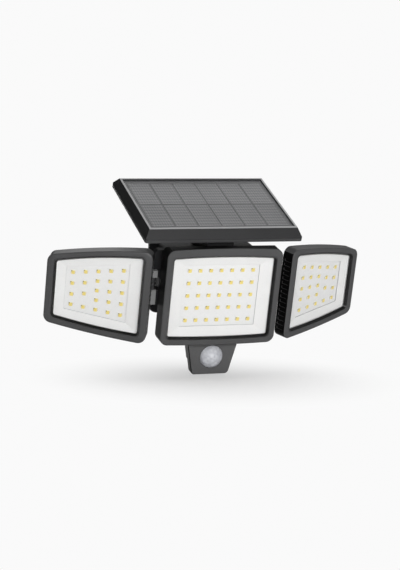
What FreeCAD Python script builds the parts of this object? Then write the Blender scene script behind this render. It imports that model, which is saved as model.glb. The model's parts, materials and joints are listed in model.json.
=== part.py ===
import FreeCAD, Part
import math
import os
import re

import Sketcher

# Motion sensor security light with a solar panel and three lamp heads.
# Sizes are in millimetres. Row frame: X to the right, Y towards the wall, Z up,
# with the origin at the centre of the wall plate's rear face.
# The centre lamp's own frame has its origin at the middle of its light board:
# X right, Y back, Z up the face. The whole lamp leans forward by lamp_lean.

Vector = FreeCAD.Vector
doc = FreeCAD.newDocument("SecurityLight")
sizes = doc.addObject("Spreadsheet::Sheet", "Sizes")

SIZES = [
    # wall bracket
    ("plate_width", 70), ("plate_height", 80), ("plate_thick", 4), ("plate_round", 8),
    ("wall_hole_spacing", 52), ("wall_hole_radius", 2.75),
    ("arm_width", 28), ("arm_reach", 56.2), ("pivot_rise", 25.8), ("arm_rim", 4),
    ("arm_recess", 6), ("arm_root_top", 3.2), ("arm_root_low", 40.8),
    ("arm_neck_back", 11), ("arm_neck_drop", 11.5), ("ear_thick", 5.1),
    ("pivot_radius", 3), ("pivot_ear_radius", 8), ("bracket_screw_radius", 2),
    ("bracket_screw_pitch", 24), ("bracket_screw_long", 12),
    ("bracket_screw_head", 3.8), ("bracket_screw_head_high", 2),
    # how the pieces sit together
    ("run_gap", 0.4), ("bore_gap", 0.05), ("fit_gap", 0.15),
    # lean and swing in the rest pose
    ("lamp_lean", 16.784), ("side_swing", 26.14), ("panel_slope", 9.8),
    ("pivot_back", 65.2), ("pivot_up", 23),
    # centre lamp face
    ("centre_rim_half", 59.9), ("centre_rim_top", 49.2), ("centre_rim_low", 48.3),
    ("centre_bow_top", 1.7), ("centre_bow_low", 1.3), ("centre_rim_front", 9),
    ("centre_back", 8.3), ("centre_face_side", 5.8), ("centre_face_top", 7.4),
    ("centre_face_low", 5.8), ("centre_window_half", 39.5), ("centre_window_top", 31.8),
    ("centre_lens_front", 5.6), ("centre_slope_deep", 8), ("centre_slope_drop", 3),
    ("centre_led_pitch_wide", 11), ("centre_led_pitch_high", 12.88),
    # side lamp face, measured from its hinge: the end near the hinge is the taller one
    ("side_rim_near", 3.6), ("side_rim_far", 98.9), ("side_top_near", 46.3), ("side_top_far", 30.0),
    ("side_low_near", 49.2), ("side_low_far", 38.7), ("side_bow_top", 2.1), ("side_bow_low", 1.5),
    ("side_board_front", 13.84), ("side_rim_front", 8), ("side_back", 5.5),
    ("side_face_side", 7.0), ("side_face_top", 5.1), ("side_face_low", 6.0),
    ("side_window_near", 18.3), ("side_window_far", 80.5), ("side_window_top_near", 28.85),
    ("side_window_top_far", 18.45), ("side_window_low_near", 31.65),
    ("side_window_low_far", 25.35), ("side_lens_front", 5.0),
    ("side_led_near", 24.2), ("side_led_pitch", 12.4), ("side_led_top", 21.35),
    ("side_led_low", 24.65), ("side_led_top_slope", 0.1653), ("side_led_low_slope", 0.0907),
    ("side_led_row_pitch", 11.3),
    # what every lamp head shares
    ("rim_round", 8), ("cavity_round", 4), ("edge_round", 1), ("back_wall", 2),
    ("frame_bevel", 2.3), ("frame_deep", 2.8), ("frame_groove", 0.5), ("frame_land", 0.3), ("lens_thick", 1.2),
    ("gasket_thick", 0.8), ("gasket_width", 2.0), ("board_thick", 1.6), ("boss_half", 2.6),
    ("boss_inset", 5), ("led_size", 4), ("led_high", 0.9), ("window_gap", 0.3),
    # cooling ribs of the side heads
    ("rib_pitch", 4.8), ("rib_slot", 2.6), ("rib_high", 7.6), ("rib_inset_near", 12),
    ("rib_inset", 4), ("notch_deep", 0.8), ("notch_front", 5), ("notch_land", 2.6),
    # upright hinges of the side heads
    ("hinge_out", 67), ("hinge_back", 18), ("hinge_radius", 6), ("hinge_pin_radius", 2),
    ("hinge_ear_low", 13), ("hinge_ear_mid_low", 2), ("hinge_ear_mid_top", 15),
    ("hinge_ear_top", 22), ("wing_top", 42), ("wing_front", 16), ("wing_slant", 5),
    ("lug_groove", 1.5), ("lug_groove_deep", 0.8), ("hinge_head_radius", 4),
    ("hinge_head_high", 2.5), ("hinge_lug_long", 15),
    # rear housing with the battery
    ("box_width", 100), ("box_back", 54.6), ("box_top", 38), ("box_top_back", 36),
    ("box_low_back", 8), ("box_low_turn", 24), ("box_low", 38), ("box_wall", 2.5),
    ("box_round", 5), ("flange_margin", 5.5), ("flange_high", 44), ("flange_thick", 2.5),
    ("flange_screw_across", 40), ("flange_screw_up", 41.2), ("flange_screw_radius", 1.5),
    ("flange_screw_head", 2.6), ("flange_screw_head_high", 2), ("flange_round", 6),
    ("lug_width", 17.4),
    # neck that carries the solar panel
    ("neck_width", 28), ("neck_front", 10.8), ("neck_step", 24), ("neck_top", 50.5),
    ("neck_base", 45), ("panel_pivot_back", 33), ("panel_pivot_up", 52),
    ("knuckle_radius", 5.6), ("knuckle_width", 16), ("panel_pin_radius", 2),
    # solar panel, measured from its pivot
    ("panel_width", 154), ("panel_deep", 107), ("panel_flare_side", 4.6),
    ("panel_flare_end", 7.2), ("panel_front", 25.4), ("panel_under", 8.5),
    ("panel_high", 12.25), ("panel_lip", 3.5), ("panel_rim", 2), ("panel_ledge", 2),
    ("panel_round", 2.5), ("panel_floor", 2.2), ("sheet_recess", 0.8), ("cover_thick", 0.6),
    ("cell_thick", 0.3), ("backsheet_thick", 1.2), ("cell_pitch_wide", 24),
    ("cell_pitch_deep", 46.5), ("cell_gap", 0.9), ("cell_middle", 52),
    ("bracket_base_wide", 44), ("bracket_base_deep", 34), ("bracket_base_thick", 2.3),
    ("panel_screw_across", 18.5), ("panel_screw_along", 12), ("panel_screw_radius", 1.3),
    ("panel_screw_head", 2.4), ("panel_screw_head_high", 1.6),
    # motion sensor
    ("pir_top_half", 26.9), ("pir_low_half", 19.2), ("pir_top", 49.9), ("pir_low", 85.5),
    ("pir_front", 2.5), ("pir_seam", 11), ("pir_back", 19), ("pir_round", 4),
    ("pir_wall", 2), ("pir_step", 73), ("pir_rear_inset", 1.2), ("pir_eye_low", 66.7),
    ("pir_eye_radius", 11.9), ("pir_eye_high", 8), ("pir_lens_wall", 0.8),
    ("pir_flange_radius", 13.4), ("pir_board_half", 10), ("pir_can_radius", 4.1),
    ("pir_can_high", 4.5), ("pir_edge_round", 0.8),
    # inside the rear housing
    ("cell_radius", 9.2), ("cell_length", 65), ("cell_spacing", 22), ("cell_back", 21),
    ("holder_wall", 2), ("holder_gap", 0.3), ("holder_high", 44), ("holder_cheek", 16),
    ("control_wide", 76), ("control_low", 8), ("control_top", 32), ("control_back", 44),
    ("control_boss_across", 34.5), ("button_across", 28), ("button_up", 20),
    ("button_radius", 6), ("button_proud", 1.8), ("button_travel", 1), ("button_flange", 7.4),
    ("button_flange_thick", 1.3), ("switch_size", 6),
]

# Counts are whole numbers, so they stay out of the sheet of lengths. Small screws
# and the holes that they hide have few sides, which keeps the model light.
SCREW_SIDES = 8
SCREW_HEAD_SIDES = 12
PIR_LENS_SIDES = 16
CENTRE_LED_COLUMNS = 7
CENTRE_LED_ROWS = 5
SIDE_LED_ROWS = [5, 5, 5, 4, 4]
SIDE_RIB_SLOTS = 17
PIR_LENS_BANDS = 4
PANEL_COLUMNS = 6
PANEL_ROWS = 2

for line, (alias, amount) in enumerate(SIZES, start=1):
    sizes.set("A%d" % line, alias)
    sizes.set("B%d" % line, str(amount))
    sizes.setAlias("B%d" % line, alias)
doc.recompute()


def bind(text):
    """Write the sheet's name before every alias in an expression."""
    return re.sub(r"\b[a-z]+(?:_[a-z]+)+\b", lambda found: "Sizes." + found.group(0), text)


def size(text):
    """The number that an expression on the sheet comes to."""
    return float(sizes.evalExpression(bind(text)))


# ---------------------------------------------------------------- frames

def turned(axis, degrees):
    return FreeCAD.Placement(Vector(0, 0, 0), FreeCAD.Rotation(axis, degrees))


def moved(x, y, z):
    return FreeCAD.Placement(Vector(x, y, z), FreeCAD.Rotation())


X_AXIS = Vector(1, 0, 0)
Y_AXIS = Vector(0, 1, 0)
Z_AXIS = Vector(0, 0, 1)

PIVOT = moved(0, -size("plate_thick + arm_reach"), size("pivot_rise"))
LAMP = PIVOT * turned(X_AXIS, size("lamp_lean")) * moved(0, -size("pivot_back"), -size("pivot_up"))
PANEL = (LAMP * moved(0, size("panel_pivot_back"), size("panel_pivot_up"))
         * turned(X_AXIS, size("panel_slope")))


def side_frame(hand):
    """Frame of a side head: its origin is on the hinge axis. hand is 1 right, -1 left."""
    swing = turned(Z_AXIS, hand * size("side_swing"))
    return LAMP * moved(hand * size("hinge_out"), size("hinge_back"), 0) * swing


# ---------------------------------------------------------------- modelling helpers

parts = []


def finish(item, label, placement):
    """Name a finished sub-part, put it in its place and note it for export."""
    item.Label = label
    item.Placement = placement
    parts.append(item)
    return item


def new_body(name):
    body = doc.addObject("PartDesign::Body", name)
    return body


def add(body, kind, name):
    feature = body.newObject(kind, body.Name + "_" + name)
    return feature


def plane_of(body, role):
    for item in body.Origin.OriginFeatures:
        if item.Role == role:
            return item
    raise ValueError(role)


def sketch_on(body, role, offset, name):
    """A sketch on one of the body's planes, moved along that plane's normal."""
    sketch = add(body, "Sketcher::SketchObject", name)
    sketch.AttachmentSupport = [(plane_of(body, role), "")]
    sketch.MapMode = "FlatFace"
    sketch.setExpression("AttachmentOffset.Base.z", bind(offset))
    return sketch


def constrain(sketch, rules):
    """Add all the rules of an outline at once, each with its expression or None."""
    first = sketch.ConstraintCount
    sketch.addConstraint([rule for rule, _ in rules])
    for index, (_, expression) in enumerate(rules, start=first):
        if expression:
            sketch.setExpression("Constraints[%d]" % index, bind(expression))


def point_rules(edge, end, x, y):
    """Rules that hold a point of the sketch at x, y, both written as expressions."""
    rules = []
    for kind, axis, expression in (("DistanceX", -2, x), ("DistanceY", -1, y)):
        value = size(expression)
        if abs(value) < 1e-7:
            rules.append((Sketcher.Constraint("PointOnObject", edge, end, axis), None))
        else:
            rules.append((Sketcher.Constraint(kind, -1, 1, edge, end, value), expression))
    return rules


def bulged(start, end, rise):
    """Middle point of an arc that stands proud of the chord by rise, to the left."""
    chord = end - start
    left = Vector(-chord.y, chord.x, 0).normalize()
    return (start + end) * 0.5 + left * rise


def polygon(sketch, corners, bows=None):
    """Closed outline through the corners. bows maps an edge to its rise, to the left."""
    bows = bows or {}
    points = [Vector(size(x), size(y), 0) for x, y in corners]
    count = len(corners)
    first_ends = []
    for step in range(count):
        start = points[step]
        end = points[(step + 1) % count]
        if step in bows:
            middle = bulged(start, end, size(bows[step]))
            edge = sketch.addGeometry(Part.Arc(start, middle, end), False)
        else:
            edge = sketch.addGeometry(Part.LineSegment(start, end), False)
        forward = (sketch.getPoint(edge, 1) - start).Length < (sketch.getPoint(edge, 2) - start).Length
        first_ends.append((edge, 1, 2) if forward else (edge, 2, 1))
    rules = []
    for step in range(count):
        edge, begin, _ = first_ends[step]
        before, _, last = first_ends[step - 1]
        rules.append((Sketcher.Constraint("Coincident", before, last, edge, begin), None))
        rules += point_rules(edge, begin, corners[step][0], corners[step][1])
    for step, rise in bows.items():
        x_start, y_start = corners[step]
        x_end, y_end = corners[(step + 1) % count]
        chord = "((%s) - (%s))^2 + ((%s) - (%s))^2" % (x_end, x_start, y_end, y_start)
        radius = "((%s) / 4 + (%s)^2) / (2 * abs(%s))" % (chord, rise, rise)
        rules.append((Sketcher.Constraint("Radius", first_ends[step][0], size(radius)), radius))
    constrain(sketch, rules)


def rectangle(sketch, x_low, x_high, y_low, y_high):
    polygon(sketch, [(x_low, y_low), (x_low, y_high), (x_high, y_high), (x_high, y_low)])


def circle(sketch, x, y, radius):
    centre = Vector(size(x), size(y), 0)
    edge = sketch.addGeometry(Part.Circle(centre, Vector(0, 0, 1), size(radius)), False)
    rules = point_rules(edge, 3, x, y)
    rules.append((Sketcher.Constraint("Radius", edge, size(radius)), radius))
    constrain(sketch, rules)


def pad(body, sketch, length, both=False, back=False):
    feature = add(body, "PartDesign::Pad", "pad")
    feature.Profile = sketch
    feature.setExpression("Length", bind(length))
    feature.SideType = "Symmetric" if both else "One side"
    feature.Reversed = back
    doc.recompute([sketch, feature])
    return feature


def pocket(body, sketch, length, both=False, back=False):
    """Cut along the sketch's reversed normal, and make sure that it did cut."""
    before = body.Tip.Shape.Volume
    feature = add(body, "PartDesign::Pocket", "pocket")
    feature.Profile = sketch
    feature.setExpression("Length", bind(length))
    feature.SideType = "Symmetric" if both else "One side"
    feature.Reversed = back
    doc.recompute([sketch, feature])
    if feature.Shape.Volume > before - 1e-6:
        raise ValueError("a pocket cut nothing: " + feature.Name)
    return feature


def repeat_up(body, cut, sketch, count, pitch):
    """Repeat a pocket count times up the sketch, one pitch apart."""
    pattern = add(body, "PartDesign::LinearPattern", "pattern")
    pattern.Originals = [cut]
    pattern.Direction = (sketch, ["V_Axis"])
    pattern.setExpression("Length", bind("%d * (%s)" % (count - 1, pitch)))
    pattern.Occurrences = count
    body.Tip = pattern
    doc.recompute([pattern])
    if pattern.Shape.Volume > cut.Shape.Volume - 1e-6:
        raise ValueError("a pattern cut nothing: " + pattern.Name)
    return pattern


def loft(body, kind, first, second):
    feature = add(body, kind, "loft")
    feature.Profile = first
    feature.Sections = [second]
    feature.Ruled = True
    doc.recompute([first, second, feature])
    return feature


def edges_near(feature, direction, spots, reach=1.5):
    """Straight edges along direction whose middle is near one of the spots."""
    names = []
    for number, edge in enumerate(feature.Shape.Edges, start=1):
        if len(edge.Vertexes) != 2 or edge.Curve.TypeId != "Part::GeomLine":
            continue
        along = (edge.Vertexes[1].Point - edge.Vertexes[0].Point).normalize()
        if abs(along.dot(direction)) < 0.7:
            continue
        middle = edge.CenterOfMass
        across = [middle - spot for spot in spots]
        if any((gap - direction * gap.dot(direction)).Length < reach for gap in across):
            names.append("Edge%d" % number)
    return names


def soften(body, feature, names, radius, chamfer=False):
    """Round or chamfer the named edges of a feature."""
    if not names:
        raise ValueError("no edge to round on " + feature.Name)
    kind = "PartDesign::Chamfer" if chamfer else "PartDesign::Fillet"
    blend = add(body, kind, "blend")
    blend.Base = (feature, names)
    blend.setExpression("Size" if chamfer else "Radius", bind(radius))
    doc.recompute([blend])
    return blend


def face_edges(feature, axis, position, reach=0.02):
    """Edges that lie wholly in the plane where the given coordinate is position."""
    names = []
    for number, edge in enumerate(feature.Shape.Edges, start=1):
        box = edge.BoundBox
        low = (box.XMin, box.YMin, box.ZMin)[axis]
        high = (box.XMax, box.YMax, box.ZMax)[axis]
        if abs(low - position) < reach and abs(high - position) < reach:
            names.append("Edge%d" % number)
    return names


def turned_body(label, half_profile, placement):
    """A turned piece: its half profile (radius, height) goes round the Z axis."""
    body = new_body(label + "_body")
    sketch = sketch_on(body, "XZ_Plane", "0", "profile")
    polygon(sketch, half_profile)
    turn = add(body, "PartDesign::Revolution", "turn")
    turn.Profile = sketch
    turn.ReferenceAxis = (sketch, ["V_Axis"])
    turn.Angle = 360
    doc.recompute([sketch, turn])
    return finish(body, label, placement)


def group(label, solids, placement):
    """A node of separate, like solids, such as a set of screws."""
    item = doc.addObject("Part::Feature", label)
    item.Shape = Part.makeCompound(solids)
    return finish(item, label, placement)


def sided(radius, high, base, way, sides):
    """A prism with many equal sides. It stands on base and grows along way."""
    across = way.cross(X_AXIS)
    corners = []
    for step in range(sides):
        turn = 2 * math.pi * step / sides
        corners.append(base + X_AXIS * (radius * math.cos(turn)) + across * (radius * math.sin(turn)))
    return Part.Face(Part.makePolygon(corners + corners[:1])).extrude(way * high)


def screw(head_radius, head_high, shank_radius, length, centre, point):
    """A flat-topped screw. centre is under the head, point is where the tip looks."""
    head = sided(head_radius, head_high, centre, point * -1, SCREW_HEAD_SIDES)
    shank = sided(shank_radius, length, centre, point, SCREW_SIDES)
    return head.fuse(shank).removeSplitter()


def screw_hole(sketch, x, y, radius, sides=SCREW_SIDES):
    """A hole that hides under a screw head, with the sides of the screw in it."""
    corners = []
    for step in range(sides):
        turn = "(%s deg)" % (360 * step / sides)
        corners.append(("(%s) + (%s) * cos%s" % (x, radius, turn),
                        "(%s) + (%s) * sin%s" % (y, radius, turn)))
    polygon(sketch, corners)


# ---------------------------------------------------------------- outlines of a lamp head

class Outline:
    """Four-cornered face outline whose top and bottom edges bow outwards."""

    def __init__(self, near, far, top_near, top_far, low_near, low_far, bow_top, bow_low):
        self.near = near
        self.far = far
        self.top_near = top_near
        self.top_far = top_far
        self.low_near = low_near
        self.low_far = low_far
        self.bow_top = bow_top
        self.bow_low = bow_low

    def inset(self, side, top, low):
        """The same outline drawn in by side at both ends, top above and low below."""
        run = "((%s) - (%s))" % (self.far, self.near)
        top_slope = "(((%s) - (%s)) / %s)" % (self.top_far, self.top_near, run)
        low_slope = "(((%s) - (%s)) / %s)" % (self.low_far, self.low_near, run)
        return Outline(
            "(%s) + (%s)" % (self.near, side),
            "(%s) - (%s)" % (self.far, side),
            "(%s) + %s * (%s) - (%s)" % (self.top_near, top_slope, side, top),
            "(%s) - %s * (%s) - (%s)" % (self.top_far, top_slope, side, top),
            "(%s) + %s * (%s) + (%s)" % (self.low_near, low_slope, side, low),
            "(%s) - %s * (%s) + (%s)" % (self.low_far, low_slope, side, low),
            self.bow_top, self.bow_low)

    def straight(self):
        """The same outline without the bows."""
        return Outline(self.near, self.far, self.top_near, self.top_far,
                       self.low_near, self.low_far, "", "")

    def draw(self, sketch, hand):
        corners = self.corners(hand)
        bows = {}
        if self.bow_top:
            bows[0] = "%d * (%s)" % (hand, self.bow_top)
            bows[2] = "%d * (%s)" % (hand, self.bow_low)
        polygon(sketch, corners, bows)

    def corners(self, hand):
        near = "%d * (%s)" % (hand, self.near)
        far = "%d * (%s)" % (hand, self.far)
        return [(near, self.top_near), (far, self.top_far), (far, self.low_far),
                (near, self.low_near)]

    def spots(self, hand):
        """The corners as points of the XZ plane."""
        return [Vector(size(x), 0, size(z)) for x, z in self.corners(hand)]


class Head:
    """What sets one lamp head apart from another: its outline, depths and side."""

    def __init__(self, key, kind, hand, place):
        self.key = key
        self.kind = kind
        self.hand = hand
        self.place = place
        self.board = "side_board_front" if kind == "side" else "0"
        if kind == "side":
            self.rim = Outline("-side_rim_near", "side_rim_far", "side_top_near", "side_top_far",
                               "-side_low_near", "-side_low_far", "side_bow_top", "side_bow_low")
            self.window = Outline("side_window_near", "side_window_far",
                                  "side_window_top_near", "side_window_top_far",
                                  "-side_window_low_near", "-side_window_low_far", "", "")
        else:
            self.rim = Outline("-centre_rim_half", "centre_rim_half", "centre_rim_top",
                               "centre_rim_top", "-centre_rim_low", "-centre_rim_low",
                               "centre_bow_top", "centre_bow_low")
            self.window = Outline("-centre_window_half", "centre_window_half",
                                  "centre_window_top", "centre_window_top",
                                  "-centre_window_top", "-centre_window_top", "", "")

    def named(self, text):
        """Turn rim_front into centre_rim_front or side_rim_front, and so on."""
        return self.kind + "_" + text

    def front(self, text):
        """Distance in front of the frame's origin of something w in front of the board."""
        return "%s + (%s)" % (self.board, text)

    def cavity(self, extra="0"):
        side = "%s + (%s)" % (self.named("face_side"), extra)
        top = "%s + (%s)" % (self.named("face_top"), extra)
        low = "%s + (%s)" % (self.named("face_low"), extra)
        return self.rim.inset(side, top, low)

    def opening(self):
        return self.cavity("frame_bevel")


def prism(body, head, outline, low, high, name):
    """Pad an outline from low to high, both counted forward from the light board."""
    sketch = sketch_on(body, "XZ_Plane", head.front(low), name)
    outline.draw(sketch, head.hand)
    return pad(body, sketch, "(%s) - (%s)" % (high, low))


def sink(body, head, outline, low, high, name):
    """Pocket an outline from high back to low."""
    sketch = sketch_on(body, "XZ_Plane", head.front(high), name)
    outline.draw(sketch, head.hand)
    return pocket(body, sketch, "(%s) - (%s)" % (high, low))


def lens_ring_front(head):
    return head.named("lens_front")


# ---------------------------------------------------------------- pieces of a lamp head

def square(sketch, x, y, half):
    """A square about a point of the sketch."""
    rectangle(sketch, "(%s) - (%s)" % (x, half), "(%s) + (%s)" % (x, half),
              "(%s) - (%s)" % (y, half), "(%s) + (%s)" % (y, half))


def board_bosses(body, head):
    """Four square pegs on the back wall that carry the light board."""
    floor = "back_wall - %s" % head.named("back")
    sketch = sketch_on(body, "XZ_Plane", head.front(floor), "bosses")
    for x, z in head.cavity("boss_inset").corners(head.hand):
        square(sketch, x, z, "boss_half")
    pad(body, sketch, "-board_thick - (%s)" % floor)


def head_shell(head):
    """Open-fronted shell with the broad front rim: the body of a head's housing."""
    body = new_body(head.key + "_housing_body")
    back = "-%s" % head.named("back")
    solid = prism(body, head, head.rim, back, head.named("rim_front"), "rim")
    corners = edges_near(solid, Y_AXIS, head.rim.spots(head.hand))
    shaped = soften(body, solid, corners, "rim_round")
    front = -size(head.front(head.named("rim_front")))
    shaped = soften(body, shaped, face_edges(shaped, 1, front), "edge_round", chamfer=True)
    floor = "%s + back_wall" % back
    cut = sink(body, head, head.cavity(), floor, head.named("rim_front"), "cavity")
    corners = edges_near(cut, Y_AXIS, head.cavity().spots(head.hand))
    shaped = soften(body, cut, corners, "cavity_round")
    mouth = [name for name in face_edges(shaped, 1, front)]
    soften(body, shaped, mouth_edges(shaped, mouth, head), "frame_groove", chamfer=True)
    board_bosses(body, head)
    return body


def mouth_edges(feature, names, head):
    """Of the edges on the front face, those round the cavity's mouth."""
    half_way = head.cavity("-1.5")
    limits = [abs(spot.z) for spot in half_way.spots(head.hand)]
    ends = sorted(spot.x for spot in half_way.spots(head.hand))
    inner = []
    for name in names:
        box = feature.Shape.getElement(name).BoundBox
        inside_x = box.XMin > ends[0] and box.XMax < ends[-1]
        inside_z = max(abs(box.ZMin), abs(box.ZMax)) < max(limits) + 3
        if inside_x and inside_z:
            inner.append(name)
    return inner


def lens_frame(head):
    """Black ring with a wide inward bevel that holds the lens in."""
    body = new_body(head.key + "_lens_frame_body")
    low = lens_ring_front(head)
    high = "%s + frame_deep" % low
    ring = prism(body, head, head.cavity("fit_gap"), low, high, "ring")
    corners = edges_near(ring, Y_AXIS, head.cavity("fit_gap").spots(head.hand))
    soften(body, ring, corners, "cavity_round - fit_gap")
    hole = sink(body, head, head.opening(), low, high, "hole")
    corners = edges_near(hole, Y_AXIS, head.opening().spots(head.hand))
    shaped = soften(body, hole, corners, "frame_bevel")
    front = -size(head.front(high))
    rim = [name for name in face_edges(shaped, 1, front) if name in inner_loop(shaped, front)]
    bevel = soften(body, shaped, rim, "frame_bevel - fit_gap - frame_land", chamfer=True)
    bevel.ChamferType = "Two distances"
    bevel.setExpression("Size2", bind("frame_deep - fit_gap"))
    bevel.FlipDirection = True
    doc.recompute([bevel])
    finish(body, head.key + "_lens_frame", head.place)


def inner_loop(feature, position):
    """Names of the edges round the hole in the front face of a ring."""
    for face in feature.Shape.Faces:
        box = face.BoundBox
        if abs(box.YMin - position) < 0.01 and abs(box.YMax - position) < 0.01:
            holes = [wire for wire in face.Wires if not wire.isSame(face.OuterWire)]
            inner = [edge.CenterOfMass for wire in holes for edge in wire.Edges]
    names = []
    for number, edge in enumerate(feature.Shape.Edges, start=1):
        if any((edge.CenterOfMass - spot).Length < 1e-4 for spot in inner):
            names.append("Edge%d" % number)
    return names


def plain_plate(head, label, outline, low, high):
    """A plate whose cut corners clear the round corners of the cavity."""
    body = new_body(head.key + "_" + label + "_body")
    plate = prism(body, head, outline, low, high, "plate")
    corners = edges_near(plate, Y_AXIS, outline.spots(head.hand))
    soften(body, plate, corners, "cavity_round", chamfer=True)
    finish(body, head.key + "_" + label, head.place)
    return body


def lens(head):
    high = lens_ring_front(head)
    low = "%s - lens_thick" % high
    plain_plate(head, "lens", head.cavity("fit_gap"), low, high)


def gasket(head):
    """Silicone ring between the lens and the reflector."""
    body = new_body(head.key + "_gasket_body")
    high = "%s - lens_thick" % lens_ring_front(head)
    low = "%s - gasket_thick" % high
    outer = head.cavity("fit_gap")
    ring = prism(body, head, outer, low, high, "ring")
    soften(body, ring, edges_near(ring, Y_AXIS, outer.spots(head.hand)),
           "cavity_round - fit_gap")
    sink(body, head, head.cavity("gasket_width"), low, high, "hole")
    finish(body, head.key + "_gasket", head.place)


def reflector(head):
    """White tray whose walls slope down from the lens to the light board."""
    body = new_body(head.key + "_reflector_body")
    high = "%s - lens_thick - gasket_thick" % lens_ring_front(head)
    outer = head.cavity("fit_gap")
    ring = prism(body, head, outer, "0", high, "ring")
    soften(body, ring, edges_near(ring, Y_AXIS, outer.spots(head.hand)),
           "cavity_round - fit_gap")
    wide = sketch_on(body, "XZ_Plane", head.front(high), "wide")
    head.cavity("gasket_width").straight().draw(wide, head.hand)
    narrow = sketch_on(body, "XZ_Plane", head.front("0"), "narrow")
    head.window.draw(narrow, head.hand)
    loft(body, "PartDesign::SubtractiveLoft", wide, narrow)
    finish(body, head.key + "_reflector", head.place)


def led_board(head):
    outline = head.cavity("fit_gap + window_gap").straight()
    plain_plate(head, "led_board", outline, "-board_thick", "0")


def led_spots(head):
    """Where the LEDs sit on the board, as x and z."""
    if head.kind == "centre":
        wide = size("centre_led_pitch_wide")
        high = size("centre_led_pitch_high")
        columns = [step - (CENTRE_LED_COLUMNS - 1) / 2 for step in range(CENTRE_LED_COLUMNS)]
        rows = [step - (CENTRE_LED_ROWS - 1) / 2 for step in range(CENTRE_LED_ROWS)]
        return [(wide * column, high * row) for column in columns for row in rows]
    spots = []
    for column, count in enumerate(SIDE_LED_ROWS):
        run = column * size("side_led_pitch")
        top = size("side_led_top") - run * size("side_led_top_slope")
        low = run * size("side_led_low_slope") - size("side_led_low")
        even = (top - low) / (count - 1)
        full = count == SIDE_LED_ROWS[0]
        pitch = even if full else size("side_led_row_pitch")
        heights = [top - row * pitch for row in range(count - 1)] + [low]
        spots += [(head.hand * (size("side_led_near") + run), height) for height in heights]
    return spots


def leds(head):
    """Every LED of a head, as small square packages that stand on the board."""
    edge = size("led_size")
    high = size("led_high")
    front = -size(head.front("0"))
    solids = []
    for x, z in led_spots(head):
        corner = Vector(x - edge / 2, front - high, z - edge / 2)
        solids.append(Part.makeBox(edge, high, edge, corner))
    group(head.key + "_leds", solids, head.place)


def head_internals(head):
    lens_frame(head)
    lens(head)
    gasket(head)
    reflector(head)
    led_board(head)
    leds(head)


# ---------------------------------------------------------------- side heads

def cooling_ribs(body, head):
    """Raised back whose slots leave level cooling ribs, and notches in both ends."""
    hand = head.hand
    rim = head.rim
    plateau = Outline("rib_inset_near - side_rim_near", "side_rim_far - rib_inset",
                      rim.top_near + " - rib_inset - side_bow_top",
                      rim.top_far + " - rib_inset",
                      rim.low_near + " + rib_inset + side_bow_low",
                      rim.low_far + " + rib_inset", "", "")
    block = prism(body, head, plateau, "-side_back - rib_high", "-side_back", "ribs")
    soften(body, block, edges_near(block, Y_AXIS, plateau.spots(hand)), "box_round")
    level = "-%d * rib_pitch" % ((SIDE_RIB_SLOTS - 1) // 2)
    sketch = sketch_on(body, "XZ_Plane", "side_board_front - side_back - run_gap", "slot")
    rectangle(sketch, "%d * (hinge_lug_long + rib_slot)" % hand,
              "%d * (side_rim_far + rib_pitch)" % hand,
              level + " - rib_slot / 2", level + " + rib_slot / 2")
    slot = pocket(body, sketch, "rib_high + 1")
    repeat_up(body, slot, sketch, SIDE_RIB_SLOTS, "rib_pitch")


def end_notches(body, head):
    """Level closed notches in both end walls, in step with the cooling ribs."""
    ends = [("near", "-side_rim_near", 1, -8, 16), ("far", "side_rim_far", -1, -6, 11)]
    for name, face, inward, lowest, count in ends:
        inner = "%d * (%s + %d * notch_deep)" % (head.hand, face, inward)
        outer = "%d * (%s - %d * notch_deep)" % (head.hand, face, inward)
        level = "%d * rib_pitch" % lowest
        sketch = sketch_on(body, "XZ_Plane", "side_board_front + notch_front", name + "_notch")
        rectangle(sketch, inner, outer, level + " - rib_slot / 2", level + " + rib_slot / 2")
        notch = pocket(body, sketch, "notch_front + side_back - notch_land")
        repeat_up(body, notch, sketch, count, "rib_pitch")


def hinge_lug(body, head):
    """Lug of a side head: a grooved barrel on the hinge axis with an arm to the ribs."""
    hand = head.hand
    low = "hinge_ear_mid_low + run_gap"
    high = "hinge_ear_mid_top - hinge_ear_mid_low - 2 * run_gap"
    sketch = sketch_on(body, "XY_Plane", low, "lug_arm")
    rectangle(sketch, "0", "%d * hinge_lug_long" % hand, "-hinge_radius", "hinge_radius")
    pad(body, sketch, high)
    sketch = sketch_on(body, "XY_Plane", low, "lug_barrel")
    circle(sketch, "0", "0", "hinge_radius")
    pad(body, sketch, high)
    for share in (1, 2):
        level = "%s + (%s) * %d / 3 - lug_groove / 2" % (low, high, share)
        sketch = sketch_on(body, "XY_Plane", level, "groove%d" % share)
        circle(sketch, "0", "0", "hinge_radius + run_gap")
        circle(sketch, "0", "0", "hinge_radius - lug_groove_deep")
        pocket(body, sketch, "lug_groove", back=True)
    sketch = sketch_on(body, "XY_Plane", low + " - 1", "lug_bore")
    circle(sketch, "0", "0", "hinge_pin_radius + bore_gap")
    pocket(body, sketch, "(%s) + 2" % high, back=True)


def side_head(key, hand):
    head = Head(key, "side", hand, side_frame(hand))
    body = head_shell(head)
    hinge_lug(body, head)
    cooling_ribs(body, head)
    end_notches(body, head)
    finish(body, key + "_housing", head.place)
    head_internals(head)
    tip = "hinge_ear_top - 2 - (%s)" % "-hinge_ear_low"
    turned_body(key + "_hinge_screw",
                [("0", "-hinge_head_high"), ("0", tip), ("hinge_pin_radius", tip),
                 ("hinge_pin_radius", "0"), ("hinge_head_radius", "0"),
                 ("hinge_head_radius", "-hinge_head_high")],
                head.place * moved(0, 0, -size("hinge_ear_low")))


# ---------------------------------------------------------------- centre head

def flange_screw_holes(sketch):
    """Holes for the four screws of the rear housing's flange."""
    for across in (-1, 1):
        for up in (-1, 1):
            screw_hole(sketch, "%d * flange_screw_across" % across,
                       "%d * flange_screw_up" % up, "flange_screw_radius + bore_gap")


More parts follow.
